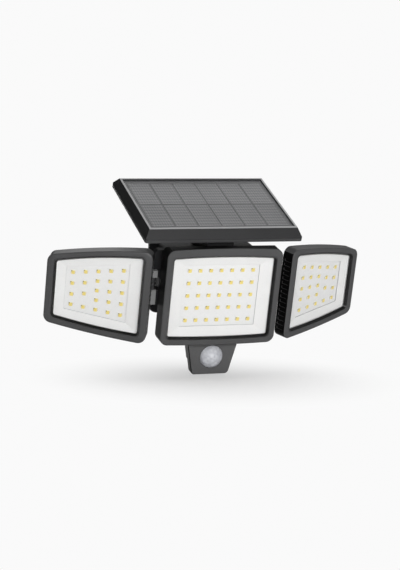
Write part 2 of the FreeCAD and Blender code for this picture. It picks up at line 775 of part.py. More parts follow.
def centre_head():
    head = Head("centre", "centre", 1, LAMP)
    body = head_shell(head)
    crest = "(centre_rim_top + centre_bow_top)"
    slope = [("centre_back - centre_slope_deep", crest),
             ("centre_back", crest + " - centre_slope_drop"),
             ("centre_back + 1", crest + " - centre_slope_drop"), ("centre_back + 1", crest + " + 1"),
             ("centre_back - centre_slope_deep", crest + " + 1")]
    pocket(body, side_profile(body, "shoulder", slope), "2 * centre_rim_half + 2", both=True)
    sketch = sketch_on(body, "XZ_Plane", "run_gap - centre_back + back_wall", "pilots")
    flange_screw_holes(sketch)
    pocket(body, sketch, "back_wall + 2 * run_gap")
    finish(body, "centre_housing", LAMP)
    head_internals(head)


# ---------------------------------------------------------------- rear housing

def side_profile(body, name, points):
    """Sketch on the YZ plane through points written as (back, up)."""
    sketch = sketch_on(body, "YZ_Plane", "0", name)
    polygon(sketch, points)
    return sketch


def battery_box(body):
    """Flange and wedge-shaped box behind the centre head."""
    sketch = sketch_on(body, "XZ_Plane", "-centre_back - flange_thick", "flange")
    half = "(box_width / 2 + flange_margin)"
    rectangle(sketch, "-" + half, half, "-flange_high", "flange_high")
    flange = pad(body, sketch, "flange_thick")
    spots = [Vector(x * size(half), 0, z * size("flange_high")) for x in (-1, 1) for z in (-1, 1)]
    soften(body, flange, edges_near(flange, Y_AXIS, spots), "flange_round")
    points = [("centre_back", "-box_low"), ("centre_back", "box_top"), ("box_back", "box_top_back"),
              ("box_back", "box_low_back"), ("box_low_turn", "-box_low")]
    box = pad(body, side_profile(body, "box", points), "box_width", both=True)
    names = []
    for number, edge in enumerate(box.Shape.Edges, start=1):
        middle = edge.CenterOfMass
        at_side = abs(abs(middle.x) - size("box_width") / 2) < 0.01
        straight = edge.BoundBox.XLength < 0.01
        behind = middle.y > size("centre_back + flange_thick") + 1
        if at_side and straight and behind:
            names.append("Edge%d" % number)
    soften(body, box, names, "box_round")


def panel_neck(body):
    """Neck on top of the box, with the knuckle that the panel tilts on."""
    base = sketch_on(body, "YZ_Plane", "0", "neck_base")
    rectangle(base, "neck_front", "box_back", "box_top_back - box_wall", "neck_base")
    pad(body, base, "neck_width", both=True)
    post = sketch_on(body, "YZ_Plane", "0", "neck_post")
    rectangle(post, "neck_front", "neck_step", "neck_base - 1", "neck_top")
    pad(body, post, "neck_width", both=True)
    web = sketch_on(body, "YZ_Plane", "0", "knuckle_web")
    rectangle(web, "panel_pivot_back - knuckle_radius", "panel_pivot_back + knuckle_radius",
              "neck_base - 1", "panel_pivot_up")
    pad(body, web, "knuckle_width", both=True)
    knuckle = sketch_on(body, "YZ_Plane", "0", "knuckle")
    circle(knuckle, "panel_pivot_back", "panel_pivot_up", "knuckle_radius")
    pad(body, knuckle, "knuckle_width", both=True)


def wall_lug(body):
    """Lug at the back of the box that sits between the bracket's ears."""
    web = sketch_on(body, "YZ_Plane", "0", "lug_web")
    rectangle(web, "box_back - 1", "pivot_back", "pivot_up - pivot_ear_radius",
              "pivot_up + pivot_ear_radius")
    pad(body, web, "lug_width", both=True)
    eye = sketch_on(body, "YZ_Plane", "0", "lug_eye")
    circle(eye, "pivot_back", "pivot_up", "pivot_ear_radius")
    pad(body, eye, "lug_width", both=True)


def hinge_ears(body):
    """Two ears and the tall wing on each side that carry a side head."""
    front = "hinge_back - hinge_radius"
    back = "hinge_back + hinge_radius"
    root = "box_width / 2 - 2 * box_wall"
    levels = [("lower", "-hinge_ear_low", "hinge_ear_low + hinge_ear_mid_low"),
              ("upper", "hinge_ear_mid_top", "hinge_ear_top - hinge_ear_mid_top")]
    for name, low, high in levels:
        blocks = sketch_on(body, "XY_Plane", low, name + "_ears")
        ends = sketch_on(body, "XY_Plane", low, name + "_ends")
        for hand in (-1, 1):
            axis = "%d * hinge_out" % hand
            rectangle(blocks, "%d * (%s)" % (hand, root), axis, front, back)
            circle(ends, axis, "hinge_back", "hinge_radius")
        pad(body, blocks, high)
        pad(body, ends, high)
    webs = sketch_on(body, "XY_Plane", "hinge_ear_mid_low - 1", "ear_webs")
    wings = sketch_on(body, "XZ_Plane", "-hinge_back - hinge_radius", "wings")
    for hand in (-1, 1):
        near = "%d * (%s)" % (hand, root)
        inner = "%d * (hinge_out - hinge_radius - 2 * run_gap - 1)" % hand
        rectangle(webs, near, inner, front, back)
        tip = "%d * (hinge_out - wing_slant)" % hand
        outer = "%d * hinge_out" % hand
        polygon(wings, [(near, "hinge_ear_top - 1"), (near, "wing_top"), (tip, "wing_top"),
                        (outer, "wing_top - wing_slant"), (outer, "hinge_ear_top - 1")])
    pad(body, webs, "hinge_ear_mid_top - hinge_ear_mid_low + 2")
    pad(body, wings, "hinge_back + hinge_radius - wing_front")


def rear_holes(body):
    """The hollow for the battery, and every bore and screw hole."""
    points = [("centre_back - 1", "box_wall - box_low"), ("centre_back - 1", "box_top - box_wall"),
              ("centre_back", "box_top - box_wall"),
              ("box_back - box_wall", "box_top_back - box_wall"),
              ("box_back - box_wall", "box_low_back + box_wall / 2"),
              ("box_low_turn - box_wall / 2", "box_wall - box_low")]
    pocket(body, side_profile(body, "hollow", points), "box_width - 2 * box_wall", both=True)
    bore = sketch_on(body, "YZ_Plane", "0", "panel_bore")
    circle(bore, "panel_pivot_back", "panel_pivot_up", "panel_pin_radius + bore_gap")
    pocket(body, bore, "neck_width", both=True)
    bore = sketch_on(body, "YZ_Plane", "0", "lamp_bore")
    circle(bore, "pivot_back", "pivot_up", "pivot_radius + bore_gap")
    pocket(body, bore, "neck_width", both=True)
    bores = sketch_on(body, "XY_Plane", "-hinge_ear_low - 1", "hinge_bores")
    for hand in (-1, 1):
        circle(bores, "%d * hinge_out" % hand, "hinge_back", "hinge_pin_radius + bore_gap")
    pocket(body, bores, "hinge_ear_top + hinge_ear_low - 1", back=True)
    holes = sketch_on(body, "XZ_Plane", "run_gap - centre_back", "flange_holes")
    flange_screw_holes(holes)
    pocket(body, holes, "flange_thick + 2 * run_gap")
    hole = sketch_on(body, "XZ_Plane", "box_wall + 1 - box_back", "button_hole")
    circle(hole, "-button_across", "button_up", "button_radius + run_gap")
    pocket(body, hole, "box_wall + 2")


def control_bosses(body):
    """Two square pegs on the rear wall that carry the control board."""
    boss = sketch_on(body, "XZ_Plane", "-control_back - board_thick", "control_bosses")
    for across in (-1, 1):
        square(boss, "%d * control_boss_across" % across, "control_low + boss_half", "boss_half")
    pad(body, boss, "box_back - box_wall / 2 - control_back - board_thick", back=True)


def rear_housing():
    body = new_body("rear_housing_body")
    battery_box(body)
    panel_neck(body)
    wall_lug(body)
    hinge_ears(body)
    rear_holes(body)
    control_bosses(body)
    finish(body, "rear_housing", LAMP)


def rear_housing_screws():
    solids = []
    for across in (-1, 1):
        for up in (-1, 1):
            spot = Vector(across * size("flange_screw_across"), size("centre_back + flange_thick"),
                          up * size("flange_screw_up"))
            solids.append(screw(size("flange_screw_head"), size("flange_screw_head_high"),
                                size("flange_screw_radius"), size("flange_thick + back_wall"),
                                spot, Vector(0, -1, 0)))
    group("rear_housing_screws", solids, LAMP)


# ---------------------------------------------------------------- inside the rear housing

def battery():
    """Two round cells side by side, and the holder that cradles them."""
    radius = size("cell_radius")
    length = size("cell_length")
    solids = []
    for row in (-0.5, 0.5):
        start = Vector(-length / 2, size("cell_back"), row * size("cell_spacing"))
        cell = Part.makeCylinder(radius, length, start, X_AXIS)
        tip = Part.makeCylinder(radius / 3, size("holder_gap"), start + X_AXIS * length, X_AXIS)
        solids.append(cell.fuse(tip).removeSplitter())
    group("battery_cells", solids, LAMP)
    body = new_body("battery_holder_body")
    half = "(cell_length / 2 + holder_gap + holder_wall)"
    base = sketch_on(body, "XZ_Plane", "-centre_back - holder_gap - holder_wall", "base")
    rectangle(base, "-" + half, half, "-holder_high / 2", "holder_high / 2")
    pad(body, base, "holder_wall")
    for number, side in enumerate((-1, 1)):
        cheek = sketch_on(body, "XZ_Plane", "-centre_back - holder_gap - holder_cheek",
                          "cheek%d" % number)
        rectangle(cheek, "%d * (%s - holder_wall)" % (side, half), "%d * %s" % (side, half),
                  "-holder_high / 2", "holder_high / 2")
        pad(body, cheek, "holder_cheek")
    finish(body, "battery_holder", LAMP)


def control_electronics():
    """Control board with the push switch that the mode button works."""
    body = new_body("control_board_body")
    board = sketch_on(body, "XZ_Plane", "-control_back - board_thick", "board")
    rectangle(board, "-control_wide / 2", "control_wide / 2", "control_low", "control_top")
    pad(body, board, "board_thick")
    finish(body, "control_board", LAMP)
    body = new_body("button_switch_body")
    high = button_rear_face() + " - button_travel - bore_gap - control_back - board_thick"
    block = sketch_on(body, "XZ_Plane", "-control_back - board_thick", "block")
    rectangle(block, "-button_across - switch_size / 2", "-button_across + switch_size / 2",
              "button_up - switch_size / 2", "button_up + switch_size / 2")
    pad(body, block, high, back=True)
    finish(body, "button_switch", LAMP)


def button_rear_face():
    """How far back the inner face of the button's flange lies."""
    return "box_back - box_wall - run_gap - button_flange_thick"


def mode_button():
    """Round cap in the rear wall, kept in by its flange."""
    flange = "button_flange_thick"
    top = "button_flange_thick + run_gap + box_wall + button_proud"
    place = LAMP * moved(-size("button_across"), size(button_rear_face()), size("button_up"))
    place = place * turned(X_AXIS, -90)
    crown = "(%s - edge_round)" % top
    turned_body("mode_button",
                [("0", "0"), ("0", top), ("button_radius - edge_round", top),
                 ("button_radius", crown), ("button_radius", flange),
                 ("button_flange", flange), ("button_flange", "0")], place)


# ---------------------------------------------------------------- motion sensor

def pir_corners(inset, top, low):
    """Tapering outline of the sensor's housing between two heights."""
    slope = "((pir_top_half - pir_low_half) / (pir_low - pir_top))"
    wide = "(pir_low_half + %s * (pir_low - (%s)) - (%s))" % (slope, top, inset)
    narrow = "(pir_low_half + %s * (pir_low - (%s)) - (%s))" % (slope, low, inset)
    return [("-" + wide, "-(%s)" % top), (wide, "-(%s)" % top),
            (narrow, "-(%s)" % low), ("-" + narrow, "-(%s)" % low)]


def pir_front_shell():
    """Front half of the sensor housing, with the round hole for its lens."""
    body = new_body("pir_front_shell_body")
    sketch = sketch_on(body, "XZ_Plane", "-pir_seam", "outline")
    polygon(sketch, pir_corners("0", "pir_top", "pir_low"))
    solid = pad(body, sketch, "pir_seam - pir_front")
    low = [Vector(x * size("pir_low_half"), 0, -size("pir_low")) for x in (-1, 1)]
    shaped = soften(body, solid, edges_near(solid, Y_AXIS, low), "pir_round")
    rim = face_edges(shaped, 1, size("pir_front"))
    soften(body, shaped, rim, "pir_edge_round", chamfer=True)
    hollow = sketch_on(body, "XZ_Plane", "-pir_seam", "hollow")
    polygon(hollow, pir_corners("pir_wall", "pir_top + pir_wall", "pir_low - pir_wall"))
    pocket(body, hollow, "pir_seam - pir_front - pir_wall", back=True)
    eye = sketch_on(body, "XZ_Plane", "run_gap - pir_front", "eye")
    circle(eye, "0", "-pir_eye_low", "pir_eye_radius + fit_gap")
    pocket(body, eye, "pir_wall + 2 * run_gap")
    finish(body, "pir_front_shell", LAMP)


def pir_rear_shell():
    """Rear half, which ends higher than the front and reaches up to the box."""
    body = new_body("pir_rear_shell_body")
    sketch = sketch_on(body, "XZ_Plane", "-pir_back", "outline")
    polygon(sketch, pir_corners("pir_rear_inset", "box_low + fit_gap", "pir_step"))
    solid = pad(body, sketch, "pir_back - pir_seam - fit_gap")
    soften(body, solid, face_edges(solid, 1, size("pir_back")), "edge_round", chamfer=True)
    hollow = sketch_on(body, "XZ_Plane", "-pir_seam - fit_gap", "hollow")
    polygon(hollow, pir_corners("pir_rear_inset + pir_wall", "pir_top", "pir_step - pir_wall"))
    pocket(body, hollow, "pir_back - pir_seam - pir_wall")
    lid = sketch_on(body, "XZ_Plane", "-pir_seam - pir_wall", "lid")
    polygon(lid, pir_corners("pir_rear_inset", "pir_step - pir_wall", "pir_low - pir_round"))
    pad(body, lid, "pir_wall - fit_gap")
    finish(body, "pir_rear_shell", LAMP)


def faceted(profile, sides):
    """A closed solid of flat facets: the profile (radius, height) goes round in equal steps."""
    faces = []
    for step in range(sides):
        first = turned(Z_AXIS, 360 * step / sides)
        second = turned(Z_AXIS, 360 * (step + 1) / sides)
        for (low, below), (high, above) in zip(profile, profile[1:] + profile[:1]):
            corners = [first.multVec(Vector(low, 0, below))]
            if low > 0:
                corners.append(second.multVec(Vector(low, 0, below)))
            if high > 0:
                corners.append(second.multVec(Vector(high, 0, above)))
            corners.append(first.multVec(Vector(high, 0, above)))
            if len(corners) > 2:
                faces.append(Part.Face(Part.makePolygon(corners + corners[:1])))
    return Part.Solid(Part.makeShell(faces)).removeSplitter()


def pir_lens():
    """Domed milky lens of flat facets on a flange, hollow towards the sensor."""
    wall = size("pir_lens_wall")
    radius = size("pir_eye_radius")
    high = size("pir_eye_high")
    rim = size("pir_flange_radius")
    seat = -size("pir_wall + fit_gap")
    leans = [math.radians(90 * band / PIR_LENS_BANDS) for band in range(PIR_LENS_BANDS)]
    outer = [(radius * math.cos(lean), high * math.sin(lean)) for lean in leans]
    inner = [((radius - wall) * math.cos(lean), (high - wall) * math.sin(lean)) for lean in leans]
    profile = outer + [(0, high), (0, high - wall)] + inner[::-1]
    profile += [(radius - wall, seat - wall), (rim, seat - wall), (rim, seat), (radius, seat)]
    item = doc.addObject("Part::Feature", "pir_lens")
    item.Shape = faceted(profile, PIR_LENS_SIDES)
    place = moved(0, size("pir_front"), -size("pir_eye_low")) * turned(X_AXIS, 90)
    finish(item, "pir_lens", LAMP * place)


def pir_sensor():
    """Metal-can sensor on its small board, behind the lens."""
    body = new_body("pir_board_body")
    back = "-(pir_seam + pir_wall + fit_gap)"
    board = sketch_on(body, "XZ_Plane", back + " + (pir_wall + 2 * fit_gap)", "board")
    rectangle(board, "-pir_board_half", "pir_board_half", "-pir_eye_low - pir_board_half",
              "-pir_eye_low + pir_board_half")
    pad(body, board, "board_thick")
    finish(body, "pir_board", LAMP)
    face = size("pir_seam - fit_gap - board_thick")
    turned_body("pir_sensor",
                [("0", "0"), ("0", "pir_can_high"), ("pir_can_radius", "pir_can_high"),
                 ("pir_can_radius", "edge_round"), ("pir_can_radius + edge_round / 2", "edge_round"),
                 ("pir_can_radius + edge_round / 2", "0")],
                LAMP * moved(0, face, -size("pir_eye_low")) * turned(X_AXIS, 90))


# ---------------------------------------------------------------- solar panel

def panel_rectangle(sketch, grow_side, grow_end):
    """Plan of the panel on a sketch, larger or smaller than its top edge."""
    half = "(panel_width / 2 + (%s))" % grow_side
    rectangle(sketch, "-" + half, half, "-panel_front - (%s)" % grow_end,
              "panel_deep - panel_front + (%s)" % grow_end)


def panel_spots(grow_side, grow_end):
    half = size("panel_width / 2 + (%s)" % grow_side)
    ends = (-size("panel_front + (%s)" % grow_end),
            size("panel_deep - panel_front + (%s)" % grow_end))
    return [Vector(x, y, 0) for x in (-half, half) for y in ends]


def panel_tray():
    """Tray with flared sides, a square lip below and a ledge for the solar sheet."""
    body = new_body("panel_tray_body")
    lip = sketch_on(body, "XY_Plane", "panel_under", "lip")
    panel_rectangle(lip, "panel_flare_side", "panel_flare_end")
    pad(body, lip, "panel_lip")
    wide = sketch_on(body, "XY_Plane", "panel_under + panel_lip", "wide")
    panel_rectangle(wide, "panel_flare_side", "panel_flare_end")
    top = sketch_on(body, "XY_Plane", "panel_under + panel_high", "top")
    panel_rectangle(top, "0", "0")
    solid = loft(body, "PartDesign::AdditiveLoft", wide, top)
    upright = edges_near(solid, Z_AXIS, panel_spots("panel_flare_side", "panel_flare_end"), 0.5)
    slanted = edges_near(solid, Z_AXIS, panel_spots("panel_flare_side / 2", "panel_flare_end / 2"),
                         0.5)
    soften(body, solid, upright + slanted, "panel_round")
    seat = sketch_on(body, "XY_Plane", "panel_under + panel_high", "seat")
    panel_rectangle(seat, "-panel_rim", "-panel_rim")
    pocket(body, seat, "sheet_recess + cover_thick + cell_thick + backsheet_thick + fit_gap")
    hollow = sketch_on(body, "XY_Plane", "panel_under + panel_high", "hollow")
    panel_rectangle(hollow, "-panel_rim - panel_ledge", "-panel_rim - panel_ledge")
    pocket(body, hollow, "panel_high - panel_floor")
    holes = sketch_on(body, "XY_Plane", "panel_under + panel_floor + run_gap", "holes")
    for x, y in panel_screw_spots():
        screw_hole(holes, x, y, "panel_screw_radius + bore_gap")
    pocket(body, holes, "panel_floor + 2 * run_gap")
    finish(body, "panel_tray", PANEL)


def panel_screw_spots():
    return [("%d * panel_screw_across" % x, "%d * panel_screw_along" % y)
            for x in (-1, 1) for y in (-1, 1)]


def sheet(label, low, thick, inset):
    body = new_body(label + "_body")
    sketch = sketch_on(body, "XY_Plane", low, "sheet")
    panel_rectangle(sketch, "-panel_rim - (%s)" % inset, "-panel_rim - (%s)" % inset)
    pad(body, sketch, thick)
    finish(body, label, PANEL)


def solar_sheets():
    """Backsheet, the grid of cells on it, and the clear cover over them."""
    top = "(panel_under + panel_high - sheet_recess)"
    cover = "(%s - cover_thick)" % top
    cells = "(%s - cell_thick)" % cover
    sheet("panel_cover_sheet", cover, "cover_thick", "fit_gap")
    sheet("panel_backsheet", "%s - backsheet_thick" % cells, "backsheet_thick", "fit_gap")
    wide = size("cell_pitch_wide")
    deep = size("cell_pitch_deep")
    gap = size("cell_gap")
    middle = size("cell_middle - panel_front")
    solids = []
    for column in range(PANEL_COLUMNS):
        for row in range(PANEL_ROWS):
            x = (column - PANEL_COLUMNS / 2) * wide + gap / 2
            y = middle + (row - PANEL_ROWS / 2) * deep + gap / 2
            corner = Vector(x, y, size(cells))
            solids.append(Part.makeBox(wide - gap, deep - gap, size("cell_thick"), corner))
    group("solar_cells", solids, PANEL)


def panel_hinge_bracket():
    """Flange under the panel with the two ears that straddle the neck's knuckle."""
    body = new_body("panel_hinge_bracket_body")
    base = sketch_on(body, "XY_Plane", "panel_under - bracket_base_thick", "base")
    rectangle(base, "-bracket_base_wide / 2", "bracket_base_wide / 2",
              "-bracket_base_deep / 2", "bracket_base_deep / 2")
    plate = pad(body, base, "bracket_base_thick")
    spots = [Vector(x * size("bracket_base_wide") / 2, y * size("bracket_base_deep") / 2, 0)
             for x in (-1, 1) for y in (-1, 1)]
    soften(body, plate, edges_near(plate, Z_AXIS, spots), "panel_round")
    inner = "(knuckle_width / 2 + run_gap)"
    thick = "(neck_width / 2 - %s)" % inner
    for number, side in enumerate((-1, 1)):
        offset = inner if side > 0 else "-neck_width / 2"
        web = sketch_on(body, "YZ_Plane", offset, "ear_web%d" % number)
        rectangle(web, "-knuckle_radius", "knuckle_radius", "0", "panel_under - 1")
        pad(body, web, thick)
        eye = sketch_on(body, "YZ_Plane", offset, "ear%d" % number)
        circle(eye, "0", "0", "knuckle_radius")
        pad(body, eye, thick)
    bore = sketch_on(body, "YZ_Plane", "0", "bore")
    circle(bore, "0", "0", "panel_pin_radius + bore_gap")
    pocket(body, bore, "neck_width + 2", both=True)
    holes = sketch_on(body, "XY_Plane", "panel_under + run_gap", "holes")
    for x, y in panel_screw_spots():
        screw_hole(holes, x, y, "panel_screw_radius + bore_gap")
    pocket(body, holes, "bracket_base_thick + 2 * run_gap")
    finish(body, "panel_hinge_bracket", PANEL)


def panel_fasteners():
    """The four screws under the panel, and the bolt and nut of its hinge."""
    solids = []
    for x, y in panel_screw_spots():
        spot = Vector(size(x), size(y), size("panel_under - bracket_base_thick"))
        solids.append(screw(size("panel_screw_head"), size("panel_screw_head_high"),
                            size("panel_screw_radius"), size("bracket_base_thick + panel_floor"),
                            spot, Z_AXIS))
    group("panel_bracket_screws", solids, PANEL)
    bolt_and_nut("panel_pivot", "panel_pin_radius", "neck_width / 2", PANEL)


def bolt_and_nut(key, radius, reach, place):
    """Bolt along X with a round head at one side, and its six-sided nut at the other."""
    head = "2 * %s" % radius
    tip = "2 * (%s) + 1.7 * %s" % (reach, radius)
    turned_body(key + "_bolt",
                [("0", "-%s" % radius), ("0", tip), (radius, tip), (radius, "0"),
                 (head, "0"), (head, "-%s" % radius)],
                place * moved(-size(reach), 0, 0) * turned(Y_AXIS, 90))
    body = new_body(key + "_nut_body")
    sketch = sketch_on(body, "YZ_Plane", reach, "hexagon")
    across = "1.9 * %s" % radius
    corners = [("(%s) * cos(%d deg)" % (across, step * 60), "(%s) * sin(%d deg)" % (across, step * 60))
               for step in range(6)]
    polygon(sketch, corners)
    pad(body, sketch, "1.5 * %s" % radius)
    bore = sketch_on(body, "YZ_Plane", "(%s) - run_gap" % reach, "bore")
    circle(bore, "0", "0", "%s + bore_gap" % radius)
    pocket(body, bore, "3 * %s" % radius, back=True)
    finish(body, key + "_nut", place)


# ---------------------------------------------------------------- wall bracket

def bracket_arm():
    """Arm from the wall plate to the lamp: two ears, then a ribbed web that deepens."""
    body = new_body("bracket_arm_body")
    points = [("arm_neck_back", "pivot_ear_radius - run_gap"), ("arm_reach", "arm_root_top"),
              ("arm_reach", "-arm_root_low"), ("arm_neck_back", "-arm_neck_drop")]
    web = sketch_on(body, "YZ_Plane", "0", "web")
    polygon(web, points)
    pad(body, web, "arm_width", both=True)
    for number, side in enumerate((-1, 1)):
        offset = "arm_width / 2 - ear_thick" if side > 0 else "-arm_width / 2"
        cheek = sketch_on(body, "YZ_Plane", offset, "cheek%d" % number)
        rectangle(cheek, "0", "arm_neck_back + 1", "-pivot_ear_radius", "pivot_ear_radius - run_gap")
        pad(body, cheek, "ear_thick")
        eye = sketch_on(body, "YZ_Plane", offset, "eye%d" % number)
        circle(eye, "0", "0", "pivot_ear_radius")
        pad(body, eye, "ear_thick")
        start = "arm_width / 2" if side > 0 else "-arm_width / 2"
        recess = sketch_on(body, "YZ_Plane", start, "recess%d" % number)
        polygon(recess, [("arm_neck_back + 2 * arm_rim", "pivot_ear_radius - arm_rim - 1"),
                         ("arm_reach - arm_rim", "arm_root_top - arm_rim"),
                         ("arm_reach - arm_rim", "2 * arm_rim - arm_root_low"),
                         ("arm_neck_back + 2 * arm_rim", "arm_rim - arm_neck_drop - 1")])
        pocket(body, recess, "arm_recess", back=side < 0)
    bore = sketch_on(body, "YZ_Plane", "0", "bore")
    circle(bore, "0", "0", "pivot_radius + bore_gap")
    pocket(body, bore, "arm_width + 2", both=True)
    holes = sketch_on(body, "XZ_Plane", "-arm_reach - run_gap", "screw_holes")
    for number in range(2):
        screw_hole(holes, "0", bracket_screw_level(number), "bracket_screw_radius + bore_gap")
    pocket(body, holes, "bracket_screw_long", back=True)
    finish(body, "bracket_arm", PIVOT)


def bracket_screw_level(number):
    """Heights of the two screws that hold the arm, about the middle of its root."""
    middle = "(arm_root_top - arm_root_low) / 2"
    return "%s + %d * bracket_screw_pitch / 2" % (middle, 1 if number else -1)


def wall_plate():
    """Flat plate with two holes for wall screws and two sunk holes for the arm's."""
    body = new_body("wall_plate_body")
    sketch = sketch_on(body, "XZ_Plane", "0", "plate")
    rectangle(sketch, "-plate_width / 2", "plate_width / 2", "-plate_height / 2",
              "plate_height / 2")
    plate = pad(body, sketch, "plate_thick")
    spots = [Vector(x * size("plate_width") / 2, 0, z * size("plate_height") / 2)
             for x in (-1, 1) for z in (-1, 1)]
    shaped = soften(body, plate, edges_near(plate, Y_AXIS, spots), "plate_round")
    front = face_edges(shaped, 1, -size("plate_thick"))
    soften(body, shaped, front, "edge_round", chamfer=True)
    holes = sketch_on(body, "XZ_Plane", "plate_thick + run_gap", "holes")
    sunk = sketch_on(body, "XZ_Plane", "bracket_screw_head_high + fit_gap", "sunk_holes")
    for side in (-1, 1):
        circle(holes, "%d * wall_hole_spacing / 2" % side, "0", "wall_hole_radius")
    for number in range(2):
        level = "pivot_rise + " + bracket_screw_level(number)
        screw_hole(holes, "0", level, "bracket_screw_radius + bore_gap")
        screw_hole(sunk, "0", level, "bracket_screw_head + fit_gap", SCREW_HEAD_SIDES)
    pocket(body, holes, "plate_thick + 2 * run_gap")
    pocket(body, sunk, "bracket_screw_head_high + fit_gap + run_gap")
    finish(body, "wall_plate", moved(0, 0, 0))


def bracket_screws():
    solids = []
    for number in range(2):
        level = size("pivot_rise + " + bracket_screw_level(number))
        under_head = -size("bracket_screw_head_high + fit_gap")
        solids.append(screw(size("bracket_screw_head"), size("bracket_screw_head_high"),
                            size("bracket_screw_radius"), size("bracket_screw_long"),
                            Vector(0, under_head, level), Vector(0, -1, 0)))
    group("bracket_screws", solids, moved(0, 0, 0))


# ---------------------------------------------------------------- build and export

def build():
    wall_plate()
    bracket_arm()
    bracket_screws()
    bolt_and_nut("lamp_pivot", "pivot_radius", "arm_width / 2", PIVOT)
    centre_head()
    rear_housing()
    rear_housing_screws()
    battery()
    control_electronics()
    mode_button()
    pir_front_shell()
    pir_rear_shell()
    pir_lens()
    pir_sensor()
    side_head("left", -1)
    side_head("right", 1)
    panel_tray()
    solar_sheets()
    panel_hinge_bracket()
    panel_fasteners()


def check_and_export():
    """Stop on any failed feature or bad solid, then write one STEP file per sub-part."""
    doc.recompute()
    for item in doc.Objects:
        if "Invalid" in item.State or "Error" in item.State:
            raise RuntimeError("failed feature: " + item.Name)
    os.makedirs("parts", exist_ok=True)
    for item in parts:
        shape = item.Shape
        if shape.isNull() or not shape.isValid():
            raise RuntimeError("bad shape: " + item.Label)
    for item in parts:
        item.Shape.exportStep("parts/%s.step" % item.Label)
        print("%-24s %2d solids %10.1f mm3" % (item.Label, len(item.Shape.Solids), item.Shape.Volume))


build()
check_and_export()
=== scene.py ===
import json
import math

import bmesh
import bpy
from mathutils import Matrix, Vector


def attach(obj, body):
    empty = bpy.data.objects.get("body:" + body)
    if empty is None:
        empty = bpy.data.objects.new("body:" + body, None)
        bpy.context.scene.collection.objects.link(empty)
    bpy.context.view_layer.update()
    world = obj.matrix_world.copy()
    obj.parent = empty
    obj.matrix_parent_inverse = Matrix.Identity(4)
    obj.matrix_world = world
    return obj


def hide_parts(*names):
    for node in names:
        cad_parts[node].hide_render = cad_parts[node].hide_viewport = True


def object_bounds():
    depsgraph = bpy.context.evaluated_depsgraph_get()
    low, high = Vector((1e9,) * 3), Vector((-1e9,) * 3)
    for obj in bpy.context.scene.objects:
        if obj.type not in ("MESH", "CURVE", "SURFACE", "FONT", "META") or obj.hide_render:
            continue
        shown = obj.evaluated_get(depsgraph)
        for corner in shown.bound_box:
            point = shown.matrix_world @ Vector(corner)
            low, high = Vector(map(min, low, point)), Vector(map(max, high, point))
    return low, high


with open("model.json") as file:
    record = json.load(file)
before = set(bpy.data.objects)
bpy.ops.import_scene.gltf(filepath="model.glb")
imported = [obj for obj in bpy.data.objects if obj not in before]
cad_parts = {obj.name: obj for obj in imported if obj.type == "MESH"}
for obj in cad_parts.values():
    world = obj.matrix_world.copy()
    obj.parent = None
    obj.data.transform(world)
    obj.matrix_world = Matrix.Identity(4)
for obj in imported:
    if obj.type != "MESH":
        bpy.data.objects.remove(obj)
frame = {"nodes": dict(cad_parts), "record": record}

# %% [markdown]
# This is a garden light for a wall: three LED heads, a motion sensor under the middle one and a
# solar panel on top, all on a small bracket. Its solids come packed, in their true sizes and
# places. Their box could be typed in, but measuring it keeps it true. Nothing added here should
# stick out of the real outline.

solid_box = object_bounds()
print("solids:", len(frame["nodes"]), "box:", [round(v, 4) for corner in solid_box for v in corner])

# %% [markdown]
# The light leans forward, its side heads are swung and its solar panel slopes. A detail could be
# placed in the room's frame, with sines and cosines for each point. It is easier in the frame of
# the piece that carries it, so each frame here is one matrix: a shift and a turn from the frame
# before it, as one would measure the real light joint by joint. Sizes are in millimetres, as a
# maker writes them, and are scaled once.

# %% Frames of the pieces
MM = 0.001
LEAN, SWING, SLOPE = 16.784, 26.14, 9.8


def shifted(x, y, z):
    return Matrix.Translation(Vector((x, y, z)) * MM)


def turned(degrees, axis):
    return Matrix.Rotation(math.radians(degrees), 4, axis)


PIVOT = shifted(0, -60.2, 25.8)
LAMP = PIVOT @ turned(LEAN, "X") @ shifted(0, -65.2, -23)
LEFT = LAMP @ shifted(-67, 18, 0) @ turned(-SWING, "Z")
RIGHT = LAMP @ shifted(67, 18, 0) @ turned(SWING, "Z")
PANEL = LAMP @ shifted(0, 33, 52) @ turned(SLOPE, "X")
print("lamp origin:", [round(v, 4) for v in LAMP.translation])

# %% [markdown]
# A finish in Blender is a net of nodes. It could be written link by link, but that hides the
# idea, so one small class wraps an output socket and lets Python's own arithmetic add the Math
# nodes. The reflected forms are there too, so that 1 - mask reads as it would on paper.

# %% Arithmetic on sockets
class Wire:
    """An output socket that arithmetic can be done on."""

    def __init__(self, finish, socket):
        self.finish = finish
        self.socket = socket

    def math(self, operation, other=0.0, reflected=False):
        first, second = (other, self) if reflected else (self, other)
        node = self.finish.node("ShaderNodeMath", {"operation": operation}, {0: first, 1: second})
        return node["Value"]

    def __add__(self, other):
        return self.math("ADD", other)

    def __radd__(self, other):
        return self.math("ADD", other, True)

    def __sub__(self, other):
        return self.math("SUBTRACT", other)

    def __rsub__(self, other):
        return self.math("SUBTRACT", other, True)

    def __mul__(self, other):
        return self.math("MULTIPLY", other)

    def __rmul__(self, other):
        return self.math("MULTIPLY", other, True)

    def __truediv__(self, other):
        return self.math("DIVIDE", other)

    def __rtruediv__(self, other):
        return self.math("DIVIDE", other, True)

    def __gt__(self, other):
        return self.math("GREATER_THAN", other)

    def __lt__(self, other):
        return self.math("LESS_THAN", other)


print("socket class ready")

# %% [markdown]
# Every other node comes from one method. It makes the node, applies its settings first, because
# some settings change which sockets a node has, and then fills or links its sockets. The few
# nodes that most finishes share, such as a noise or a relief, have a short method of their own.

# %% A finish and its nodes
class Node:
    """A node whose outputs come out as wires."""

    def __init__(self, finish, node):
        self.finish = finish
        self.node = node

    def __getitem__(self, key):
        return Wire(self.finish, self.node.outputs[key])


